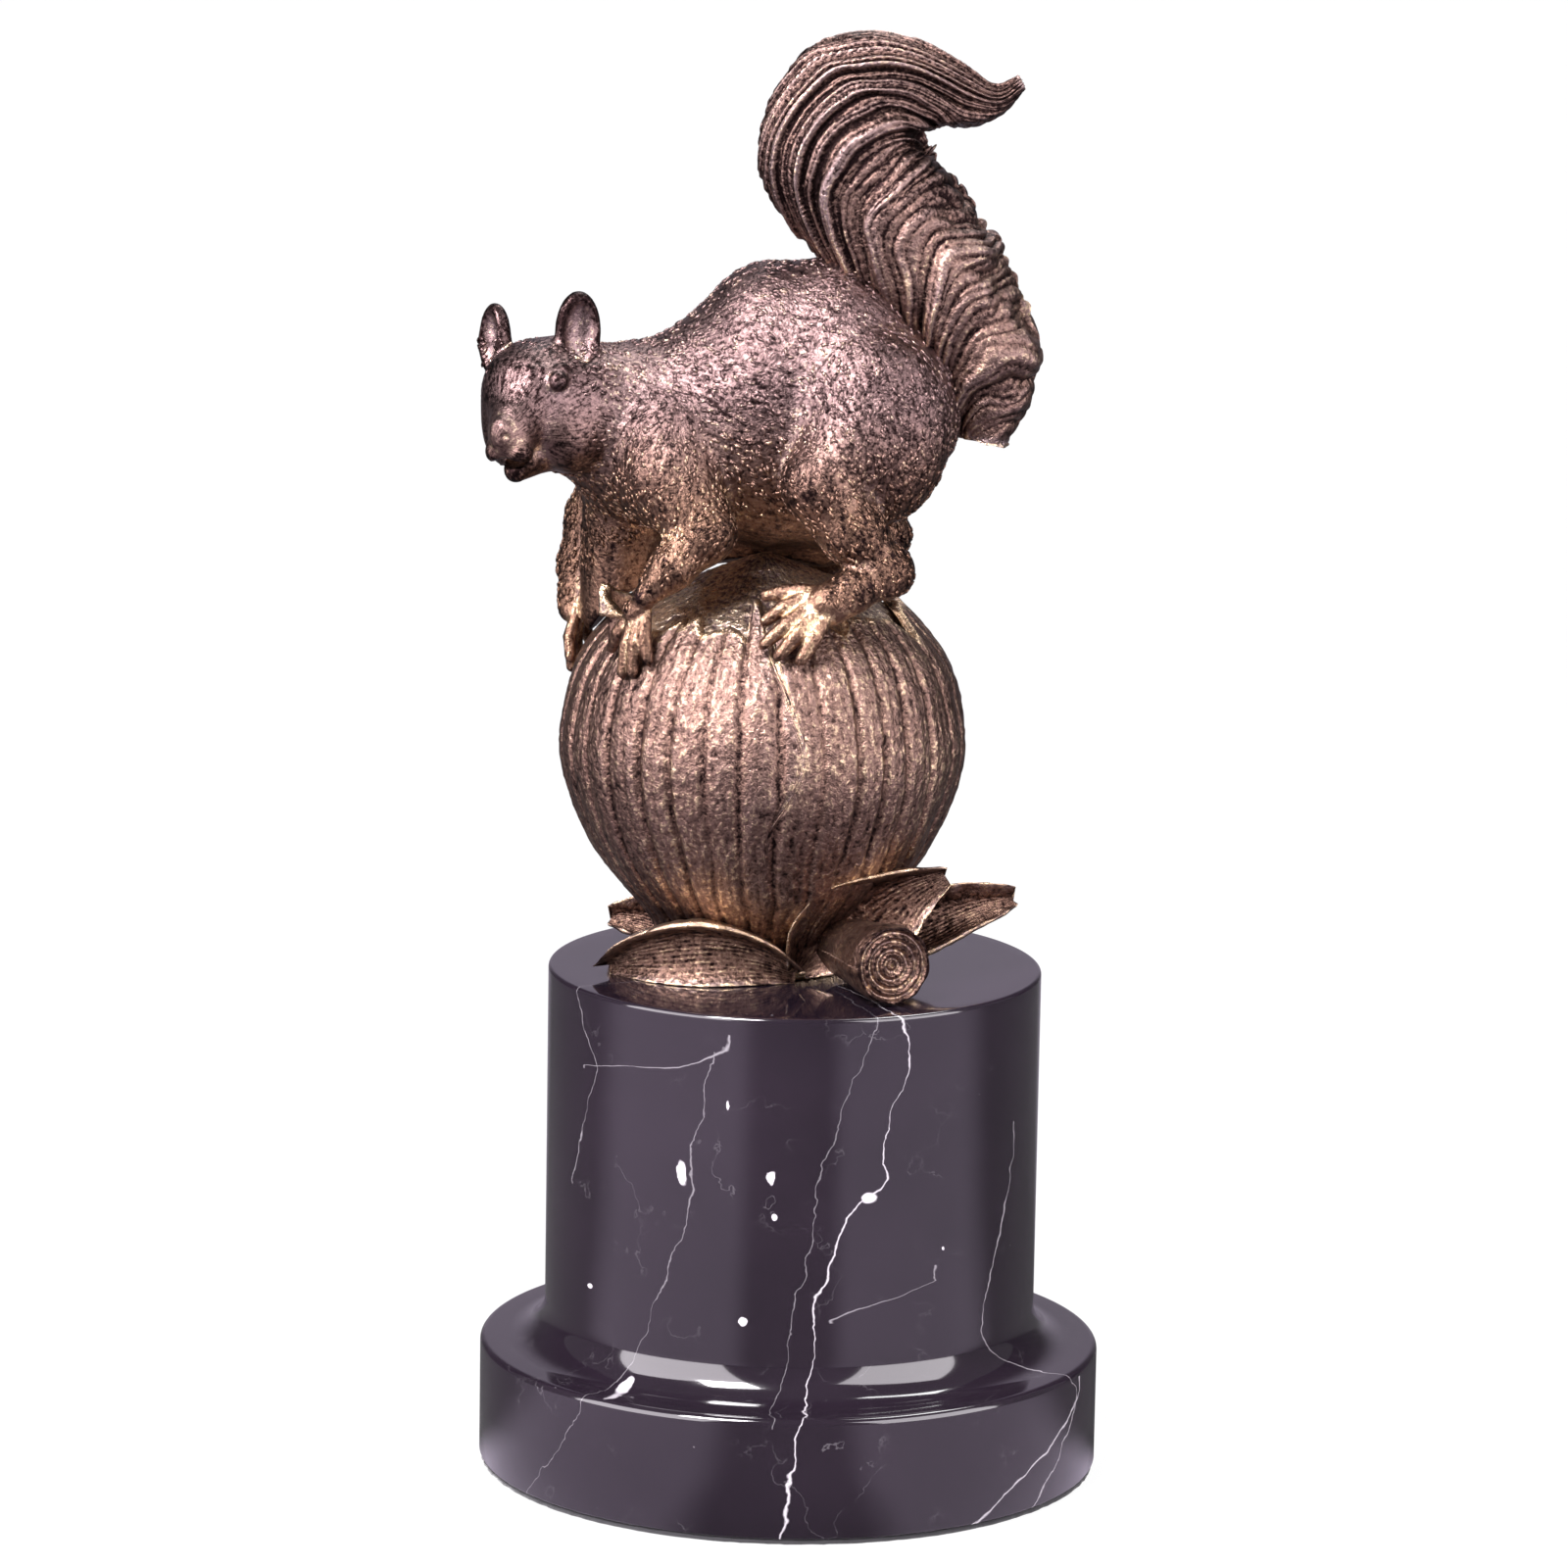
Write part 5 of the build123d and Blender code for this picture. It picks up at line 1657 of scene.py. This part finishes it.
    def press_ear(self, clay: Clay, centre: Triple, radii: tuple[float, float], opening: Triple,
                  lean: Triple) -> None:
        """Press one cupped ear.

        Args:
            clay: The block.
            centre: Its middle.
            radii: Its half width and half height.
            opening: The way that it opens.
            lean: The way that it stands.
        """
        owner = Part.HEAD.value
        out = np.array(opening) / np.linalg.norm(opening)
        clay.egg(centre, (2.7, radii[0], radii[1]), 1.6, owner, out, lean)
        hollow = np.array(centre) + out * 2.2 + np.array([0, 0, 0.2])
        clay.egg(hollow, (2.7, radii[0] - 1.0, radii[1] - 1.5), 0.6, -1, out, lean)

    def flow_of(self, points: Array, normals: Array, owner: Array) -> Array:
        """Find the way that the fur lies.

        Args:
            points: Places on the skin.
            normals: Normals there.
            owner: Number of the section there.

        Returns:
            A unit vector along the skin for each point.
        """
        ways = {
            Part.TORSO.value: (0.95, 0.0, -0.30),
            Part.HEAD.value: tuple(-unit_from(180 + self.head_turn, 12)),
            Part.LEFT_FORELEG.value: (-0.20, -0.30, -0.95),
            Part.RIGHT_FORELEG.value: (-0.35, 0.0, -0.95),
            Part.LEFT_HIND_LEG.value: (0.30, -0.20, -0.90),
            Part.RIGHT_HIND_LEG.value: (0.30, 0.20, -0.90),
        }
        way = np.array([ways[k] for k in range(len(ways))])[owner]
        side = np.sign(points[:, 1] - self.middle) * smooth_step(0, 8, np.abs(points[:, 1] - self.middle))
        torso = owner == Part.TORSO.value
        low = smooth_step(0, 26, 206 - points[:, 2])
        fall = np.stack([-0.3 * low, 0.10 * side, -0.75 * np.abs(side) * (0.4 + low)], axis=1)
        way = way + torso[:, None] * fall
        way -= normals * np.einsum("ij,ij->i", way, normals)[:, None]
        return way / np.maximum(np.linalg.norm(way, axis=1, keepdims=True), 1e-9)

    def strokes(self, points: Array, way: Array, length: float, width: float, seed: int) -> Array:
        """Smear noise along the fur's flow, so that it reads as strokes.

        Args:
            points: Places on the skin.
            way: The way that the fur lies there.
            length: Length of a stroke, in millimetres.
            width: Its width.
            seed: Number that picks them.

        Returns:
            How high a stroke stands at each point.
        """
        total = np.zeros(len(points))
        weights = 0.0
        for step in np.linspace(-1, 1, 9):
            weight = 1 - 0.7 * abs(step)
            total += weight * lattice(points + way * (step * length / 2), width, seed)
            weights += weight
        return total / weights * 2.2

    def build(self, finishes: dict[Fur, bpy.types.Material]) -> list[tuple[bpy.types.Object, str]]:
        """Press, skin and chase the body, and split it into its cast sections.

        Args:
            finishes: The bronze for each way that it is worked.

        Returns:
            The sections, each with its node's name.
        """
        clay = Clay((-68, -36, 152), (42, 42, 236), self.cell)
        self.press_torso(clay)
        self.press_head(clay)
        self.press_legs(clay)
        clay.keep_out_nut(self.nut_centre, self.nut_radius - 0.6, 4.8)
        shape, owner = clay.surface()
        for _ in range(3):
            votes = np.stack([shape.around((owner == part.value).astype(float), 3) for part in Part], axis=1)
            owner = votes.argmax(axis=1)
        shape.turn_over()
        normals = shape.normals()
        way = self.flow_of(shape.points, normals, owner)
        face = (owner == Part.HEAD.value).astype(float)
        forward = (shape.points - self.in_head(0.42, -0.2, 0.0)) @ unit_from(180 + self.head_turn, -10)
        bare = face * smooth_step(-3, 4, forward)
        paw = np.linalg.norm(shape.points - np.array(self.nut_centre), axis=1)
        bare = np.maximum(bare, 1 - smooth_step(self.nut_radius + 4.5, self.nut_radius + 8.5, paw))
        ears = face * smooth_step(217.5, 220.5, shape.points[:, 2])
        bare = np.maximum(bare, ears)
        coat = self.strokes(shape.points, way, 3.4, 0.95, 31)
        clumps = self.strokes(shape.points, way, 7.0, 2.4, 33)
        back = smooth_step(206, 224, shape.points[:, 2]) * (1 - face)
        depth = (1 - 0.86 * bare) * (1 - 0.45 * back)
        sunk = depth * (0.10 * np.tanh(1.4 * coat) + 0.06 * np.tanh(clumps) - 0.14)
        shape.points -= normals * sunk[:, None]
        shape.flow = self.unrolled(shape.points, owner)
        worn = 0.12 * smooth_step(0.0, 0.8, lattice(shape.points, 13.0, 35)) * (1 - face)
        hands = 1 - smooth_step(self.nut_radius + 2.5, self.nut_radius + 8.5, paw)
        hands *= owner >= Part.LEFT_FORELEG.value
        warmth = 0.10 + 0.75 * smooth_step(-212, -186, -shape.points[:, 2])
        touched = np.zeros(len(shape.points))
        for place, spread in self.polished:
            touched += np.exp(-((shape.points - np.array(place))**2).sum(axis=1) / spread)
        extra = worn + 0.04 * bare + 0.26 * hands - 0.06 * face + 0.35 * touched
        shape.age(0.20, 1.3, warmth, extra, Rubbed.SUNK)
        normals = shape.normals()
        coated = np.clip(1 - 1.1 * bare, 0, 1) * (1 - 0.35 * back)
        made = []
        for part in Part:
            name = part.name.lower()
            mine = owner[shape.faces] == part.value
            kept = mine.sum(axis=1) * 2 + mine[:, 0] > 4
            piece = shape.with_faces(shape.faces[kept])
            used = np.unique(shape.faces[kept])
            fur = Fur.FACE if part is Part.HEAD else Fur.COAT
            obj = to_object("squirrel_" + name, piece, finishes[fur], normals[used])
            self.chase(obj, way[used], coated[used], finishes[fur], 60 + part.value)
            made.append((obj, name))
        return made

    def chase(self, obj: bpy.types.Object, way: Array, coated: Array, finish: bpy.types.Material,
              seed: int) -> None:
        """Cover a section with chased strokes of fur.

        Args:
            obj: The section.
            way: The way that the fur lies at each point.
            coated: How thick the coat is there, from 0 to 1.
            finish: The section's material.
            seed: Number that picks the strokes.
        """
        direction = obj.data.attributes.new("way", "FLOAT_VECTOR", "POINT")
        direction.data.foreach_set("vector", way.ravel())
        share = obj.data.attributes.new("coat", "FLOAT", "POINT")
        share.data.foreach_set("value", coated)
        apply_tree(obj, stroke_tree(), {
            "Density": self.stroke_density, "Length": self.stroke_length * MM,
            "Width": self.stroke_width * MM, "Height": self.stroke_height * MM,
            "Wander": self.stroke_wander, "Smallest": self.stroke_sizes[0], "Largest": self.stroke_sizes[1],
            "Polish": (self.stroke_polish, 0.0, 0.0), "Seed": seed, "Finish": finish,
        })
        for name in ("way", "coat"):
            obj.data.attributes.remove(obj.data.attributes[name])

    def unrolled(self, points: Array, owner: Array) -> Array:
        """Lay the fur's pattern out along and across each section.

        Args:
            points: Places on the skin.
            owner: Number of the section there.

        Returns:
            Two numbers for each point, in millimetres.
        """
        head = unit_from(180 + self.head_turn, -10)
        axes = {
            Part.TORSO.value: ((-7, 3, 206), (1, 0, -0.25), (0, 0, 1)),
            Part.HEAD.value: (tuple(self.in_head(0.4, -0.22, 0.0)), tuple(-head), (0, 0, 1)),
            Part.LEFT_FORELEG.value: ((-24, -17, 184), (0, -0.1, -1), (1, 0, 0)),
            Part.RIGHT_FORELEG.value: ((-40, 17, 180), (-0.2, 0, -1), (1, 0, 0)),
            Part.LEFT_HIND_LEG.value: ((11, -12, 194), (0.1, -0.1, -1), (1, 0, 0)),
            Part.RIGHT_HIND_LEG.value: ((11, 18, 194), (0.1, 0.1, -1), (1, 0, 0)),
        }
        flow = np.zeros((len(points), 2))
        for number, (centre, along, start) in axes.items():
            mask = owner == number
            ahead = np.array(along, float) / np.linalg.norm(along)
            first = np.array(start, float) - ahead * (np.array(start, float) @ ahead)
            first /= np.linalg.norm(first)
            second = np.cross(ahead, first)
            local = points[mask] - np.array(centre, float)
            turn = np.arctan2(local @ second, local @ first)
            flow[mask, 0] = local @ ahead
            flow[mask, 1] = turn * (16 if number in (0, 1) else 8)
        return flow


@dataclass
class Tail:
    """The plume: an oval sweep whose locks leave the back edge and curl to the other."""

    stations: tuple[tuple[float, float, float, float, float], ...] = (
        (33.7, 199.8, 5.4, 80, 5.0), (33.7, 209.2, 10.8, 88, 7.7), (31.4, 219.0, 13.3, 98, 10.0),
        (22.6, 233.0, 16.2, 110, 11.9), (7.3, 252.0, 17.9, 97, 12.4), (9.1, 264.9, 15.0, 60, 11.3),
        (14.0, 267.9, 13.4, 48, 10.3), (20.4, 268.4, 10.4, 25, 8.3), (29.5, 265.7, 6.8, 6, 5.3),
        (35.6, 265.1, 3.4, 18, 3.0), (39.9, 268.4, 1.6, 30, 1.5),
    )
    middle: float = 3.0
    lock_width: float = 5.0
    lock_depth: float = 2.3
    spread: float = 0.95

    def build(self, finish: bpy.types.Material) -> bpy.types.Object:
        """Sweep the tail and carve its locks.

        Args:
            finish: Its material.

        Returns:
            The tail.
        """
        rows, columns = 376, 256
        raw = [(x, 0.0, z, half, math.radians(rise), thick) for x, z, half, rise, thick in self.stations]
        line = spline(raw, rows)
        x, z, half, rise, thick = line[:, 0], line[:, 2], line[:, 3], line[:, 4], line[:, 5]
        length = float(np.linalg.norm(np.diff(line[:, [0, 2]], axis=0), axis=1).sum())
        s = np.linspace(0, length, rows)[:, None]
        turn = np.linspace(0, 2 * np.pi, columns, endpoint=False)[None, :]
        across = np.cos(turn)
        edge = np.stack([np.sin(rise), 0 * rise, -np.cos(rise)], axis=1)
        q = np.clip((across + 1) / 2, 0, 1) + 0 * s
        base = np.stack([np.repeat(x[:, None], columns, 1), self.middle + thick[:, None] * np.sin(turn),
                         np.repeat(z[:, None], columns, 1)], axis=-1)
        base += edge[:, None, :] * (half[:, None] * across)[..., None]
        flat = base.reshape(-1, 3)
        face = np.sign(np.sin(turn)) + 0 * s
        sway = (2.3 * lattice(flat, 15.0, 41) + 0.7 * lattice(flat, 5.5, 42)).reshape(rows, columns)
        lift, drift = self.layer(s, q, face, sway, 20.0, 2.1, self.lock_width, 43)
        for run, power, wide, seed in ((15.0, 1.7, 6.4, 47), (25.0, 2.5, 7.2, 53), (18.0, 2.3, 3.4, 59)):
            other, along = self.layer(s, q, face, 0.7 * sway, run, power, wide, seed)
            other -= 0.25
            drift = np.where(other > lift, along, drift)
            lift = np.maximum(other, lift)
        fine = drift / 1.7 + 0.25 * sway
        strand = np.sin(np.pi * (fine - np.floor(fine)))**0.8
        taper = np.clip(np.minimum(half, thick) / 8.5, 0.10, 1)[:, None]
        lift = self.lock_depth * (lift - 0.9) + 0.46 * (strand - 0.6)
        tips = smooth_step(0.45, 0.98, across) * smooth_step(length * 0.12, length * 0.25, s) \
            * (1 - smooth_step(length * 0.60, length * 0.68, s))
        lift = lift * (1 + 0.9 * tips)
        shape = sheet_of(base, True, True, True)
        normals = shape.normals()
        shape.points[:rows * columns] += normals[:rows * columns] * (lift * taper).reshape(-1, 1)
        shape.points += normals * (0.10 * lattice(shape.points, 1.0, 44))[:, None]
        shape.flow = np.vstack([np.stack([(q * half[:, None] * 2).ravel(), drift.ravel()], axis=1),
                                [[0, 0], [0, 0]]])
        shape.age(0.36, 1.5, 0.50, 0.02 - 0.20 * smooth_step(228, 252, shape.points[:, 2]))
        return to_object("squirrel_tail", shape, finish)

    def layer(self, s: Array, q: Array, face: Array, sway: Array, run: float, power: float,
              width: float, seed: int) -> tuple[Array, Array]:
        """Lay one layer of pointed locks over the plume.

        Args:
            s: Places along the plume, in millimetres.
            q: Places across it, from 0 at the back edge to 1 at the other.
            face: Which of the two faces, -1 or 1.
            sway: How far the locks wander along the plume.
            run: How far a lock climbs as it crosses.
            power: How early it turns across.
            width: How wide a lock is where it leaves the back edge.
            seed: Number that picks the locks' sizes.

        Returns:
            The height of the locks, in lock depths, and the place of each point across the strands.
        """
        bend = 1 - (1 - q)**power
        start = (s - run * bend) / (1 + self.spread * bend) + sway
        lock = start / width + 0.37 * face
        index = np.floor(lock)
        part = lock - index
        chance = []
        for k in range(4):
            key = np.stack([index.ravel(), 3 * face.ravel(), np.full(face.size, float(k))], axis=1)
            chance.append(lattice(key, 1.0, seed).reshape(s.shape[0], -1))
        peak = 0.5 + 0.28 * chance[0]
        hump = np.where(part < peak, part / peak, (1 - part) / (1 - peak))
        hump = np.sin(0.5 * np.pi * hump)**0.7
        first = 0.02 + 0.10 * (chance[1] + 1)
        last = 0.90 + 0.12 * chance[2]
        ends = smooth_step(first - 0.20, first + 0.25, q)
        ends *= 1 - 0.8 * smooth_step(last - 0.10, last + 0.06, q)
        return (1.0 + 0.45 * chance[3]) * hump * (0.35 + 0.65 * ends), start


# ---- set ---------------------------------------------------------------------------------------


@dataclass(frozen=True)
class Softbox:
    """One soft light, by its place, the place that it faces, its size in metres and its power."""

    name: str
    place: Triple
    target: Triple
    size: tuple[float, float]
    watts: float
    colour: Triple = (1.0, 1.0, 1.0)

    def build(self) -> None:
        """Hang the light."""
        data = bpy.data.lights.new(self.name, "AREA")
        data.shape = "RECTANGLE"
        data.size, data.size_y = self.size
        data.energy = self.watts
        data.color = self.colour
        light = bpy.data.objects.new(self.name, data)
        light.location = self.place
        way = Vector(self.target) - Vector(self.place)
        light.rotation_euler = way.to_track_quat("-Z", "Y").to_euler()
        bpy.context.scene.collection.objects.link(light)


@dataclass
class Studio:
    """The floor, lights and camera of the photograph."""

    camera_place: Triple = (0.0, -1.2913, 0.3853)
    pitch: float = 11.04
    yaw: float = -0.12
    roll: float = 0.98
    lens: float = 157.5
    sensor: float = 36.0
    floor_colour: Triple = (0.82, 0.82, 0.83)
    # Colour of the painted reflection that the floor shows to glossy rays.
    painted_reflection_colour: Triple = (0.86, 0.74, 0.95)
    world_colour: Triple = (0.90, 0.90, 0.93)
    world_strength: float = 0.16
    lights: tuple[Softbox, ...] = (
        Softbox("left_softbox", (-0.74, -0.52, 0.46), (0, 0, 0.15), (1.0, 0.9), 16.0, (1.0, 0.94, 1.0)),
        Softbox("right_softbox", (0.76, -0.50, 0.46), (0, 0, 0.15), (0.9, 0.9), 13.0, (1.0, 0.95, 1.0)),
        Softbox("key_softbox", (-0.42, -0.60, 1.0), (0, 0, 0.20), (0.38, 0.32), 30.0, (1.0, 0.97, 1.0)),
        Softbox("top_softbox", (0.16, 0.35, 0.95), (0, 0, 0.2), (0.5, 0.4), 7.0),
    )

    def build_camera(self) -> None:
        """Place the camera that was fitted to the plinth's rims."""
        data = bpy.data.cameras.new("camera")
        data.lens = self.lens
        data.sensor_width = self.sensor
        data.clip_end = 20.0
        camera = bpy.data.objects.new("camera", data)
        bpy.context.scene.collection.objects.link(camera)
        turn = (Matrix.Rotation(math.radians(-self.yaw), 4, "Z")
                @ Matrix.Rotation(math.radians(90 - self.pitch), 4, "X")
                @ Matrix.Rotation(math.radians(self.roll), 4, "Z"))
        camera.matrix_world = Matrix.Translation(Vector(self.camera_place)) @ turn
        bpy.context.scene.camera = camera

    def build_floor(self) -> None:
        """Lay a pale floor that runs up into a backdrop.

        The camera sees it white. To glossy rays it glows as two dim mauve strips at the sides, dark between
        them in front and dimmer at the back: a painted reflection, which polished pieces mirror.
        """
        turn = np.linspace(0, math.pi / 2, 12)
        profile = [(-1800.0, 0.0), (900.0, 0.0)]
        profile += [(900 + 600 * math.sin(t), 600 - 600 * math.cos(t)) for t in turn[1:]]
        profile += [(1500.0, 2600.0)]
        grid = np.array([[(x, y, z) for x in (-2200.0, 2200.0)] for y, z in profile])
        shape = sheet_of(grid, False)
        material, wires, shader = new_material("Pale Floor")
        shader.inputs["Base Color"].default_value = (*self.floor_colour, 1.0)
        shader.inputs["Roughness"].default_value = 0.9
        glow = wires.node("ShaderNodeEmission")
        path = wires.node("ShaderNodeLightPath")
        # Painted reflection colour for all rays but the camera's, which see white.
        tint = wires.mix(path.outputs["Is Camera Ray"], self.painted_reflection_colour, (1.0, 1.0, 1.0))
        wires.join(tint, glow.inputs["Color"])
        apart = wires.node("ShaderNodeSeparateXYZ")
        wires.join(wires.node("ShaderNodeTexCoord").outputs["Object"], apart.inputs[0])
        # Painted reflection: for glossy rays the floor glows in two side strips and, dimmer, at the back,
        # with dark in front.
        turn = wires.math("ABSOLUTE", wires.math("ARCTAN2", apart.outputs[0],
                                                 wires.math("MULTIPLY", apart.outputs[1], -1.0)))
        reflection_panels = wires.math("MULTIPLY", wires.ramp(turn, 0.24, 0.46),
                            wires.math("SUBTRACT", 1.0, wires.ramp(turn, 1.35, 1.75)))
        reflection_behind = wires.math("MULTIPLY", wires.ramp(turn, 2.6, 2.95), 0.5)
        reflection_glow = wires.math("MULTIPLY_ADD", wires.math("MAXIMUM", reflection_panels, reflection_behind), 0.60, 0.02)
        wires.join(wires.math("MAXIMUM", path.outputs["Is Camera Ray"], reflection_glow), glow.inputs["Strength"])
        seen = wires.math("MAXIMUM", path.outputs["Is Camera Ray"], path.outputs["Is Glossy Ray"])
        mixed = wires.node("ShaderNodeMixShader")
        wires.join(wires.math("MULTIPLY", seen, 0.95), mixed.inputs[0])
        wires.join(shader.outputs[0], mixed.inputs[1])
        wires.join(glow.outputs[0], mixed.inputs[2])
        output = next(n for n in material.node_tree.nodes if n.type == "OUTPUT_MATERIAL")
        wires.join(mixed.outputs[0], output.inputs["Surface"])
        floor = to_object("floor", shape, material)

    def build_world(self) -> None:
        """Fill the studio with a soft even light."""
        world = bpy.data.worlds.new("studio")
        world.use_nodes = True
        wires = Wiring(world.node_tree)
        back = next(n for n in world.node_tree.nodes if n.type == "BACKGROUND")
        back.inputs["Color"].default_value = (*self.world_colour, 1.0)
        back.inputs["Strength"].default_value = self.world_strength
        bpy.context.scene.world = world

    def build(self) -> None:
        """Set the whole studio."""
        bpy.context.scene.view_settings.view_transform = "Standard"
        self.build_camera()
        self.build_floor()
        self.build_world()
        for light in self.lights:
            light.build()


LEAVES = (
    Leaf("leaf_front_left", "front_left_leaf",
         ((-35.4, -10.2, 99.6, 1.6), (-28.2, -17, 103, 5.0), (-18.2, -20.2, 104.5, 6.5),
          (-8.2, -19, 103, 5.0), (0.2, -15.8, 99.7, 1.7)), (0, -1, 0), thickness=5.2, seed=51),
    Leaf("leaf_front_right", "front_right_leaf",
         ((1, -14.6, 100.3, 2.0), (6.2, -17, 106.4, 8.1), (13, -18.2, 109.9, 10.4), (21, -17, 115.5, 5.9),
          (28.2, -14.6, 119.0, 2.0)), (0, -1, 0), thickness=5.4, seed=52),
    Leaf("leaf_right", "right_leaf",
         ((13, -7.4, 103, 5.0), (23.4, -8.6, 107.2, 5.9), (32.2, -6.2, 109.8, 4.3), (38.2, -3.8, 110.9, 2.7),
          (41.8, -1.8, 111.6, 1.3)), (0, -0.8, 0.6), seed=53),
    Leaf("leaf_back_left", "back_left_leaf",
         ((-20.2, 14.2, 100.5, 2.5), (-25, 15.4, 101.4, 3.4), (-29, 17, 101.8, 3.6), (-33, 18.6, 101.8, 2.5),
          (-36.2, 19.8, 101.9, 1.4)), (-0.3, -0.7, 0.6), seed=54),
)


def main() -> None:
    """Build the figurine and its studio, piece by piece."""
    patina = PatinaAndSheen().build()
    finishes = {fur: Bronze("Bronze " + fur.name.title(), fur).build(patina) for fur in Fur}
    plinth = Plinth()
    install(plinth.build_stone(Marble().build()), "marble", "plinth")
    felt = plinth.build_felt(Plain("Dark Felt", (0.020, 0.019, 0.022), 0.95, 0.0, 900.0, 0.3).build())
    install(felt, "felt", "felt_pad")
    steel = Plain("Plated Steel", (0.60, 0.60, 0.62), 0.35, 1.0, 1400.0).build()
    for node in ("fixing_stud", "washer", "hex_nut"):
        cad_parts[node].data.materials.clear()
        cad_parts[node].data.materials.append(steel)
    nut = Hazelnut()
    install(nut.build_kernel(finishes[Fur.GRAIN]), "bronze", "hazelnut")
    install(nut.build_husk(finishes[Fur.BARK]), "bronze", "husk")
    for leaf in LEAVES:
        install(leaf.build(finishes[Fur.BARK]), "bronze", leaf.node)
    install(Twig().build(finishes[Fur.BARK]), "bronze", "twig_stub")
    for piece, node in Squirrel().build(finishes):
        install(piece, "bronze", node)
    install(Tail().build(finishes[Fur.LOCKS]), "bronze", "tail")
    Studio().build()


if __name__ == "__main__":
    main()
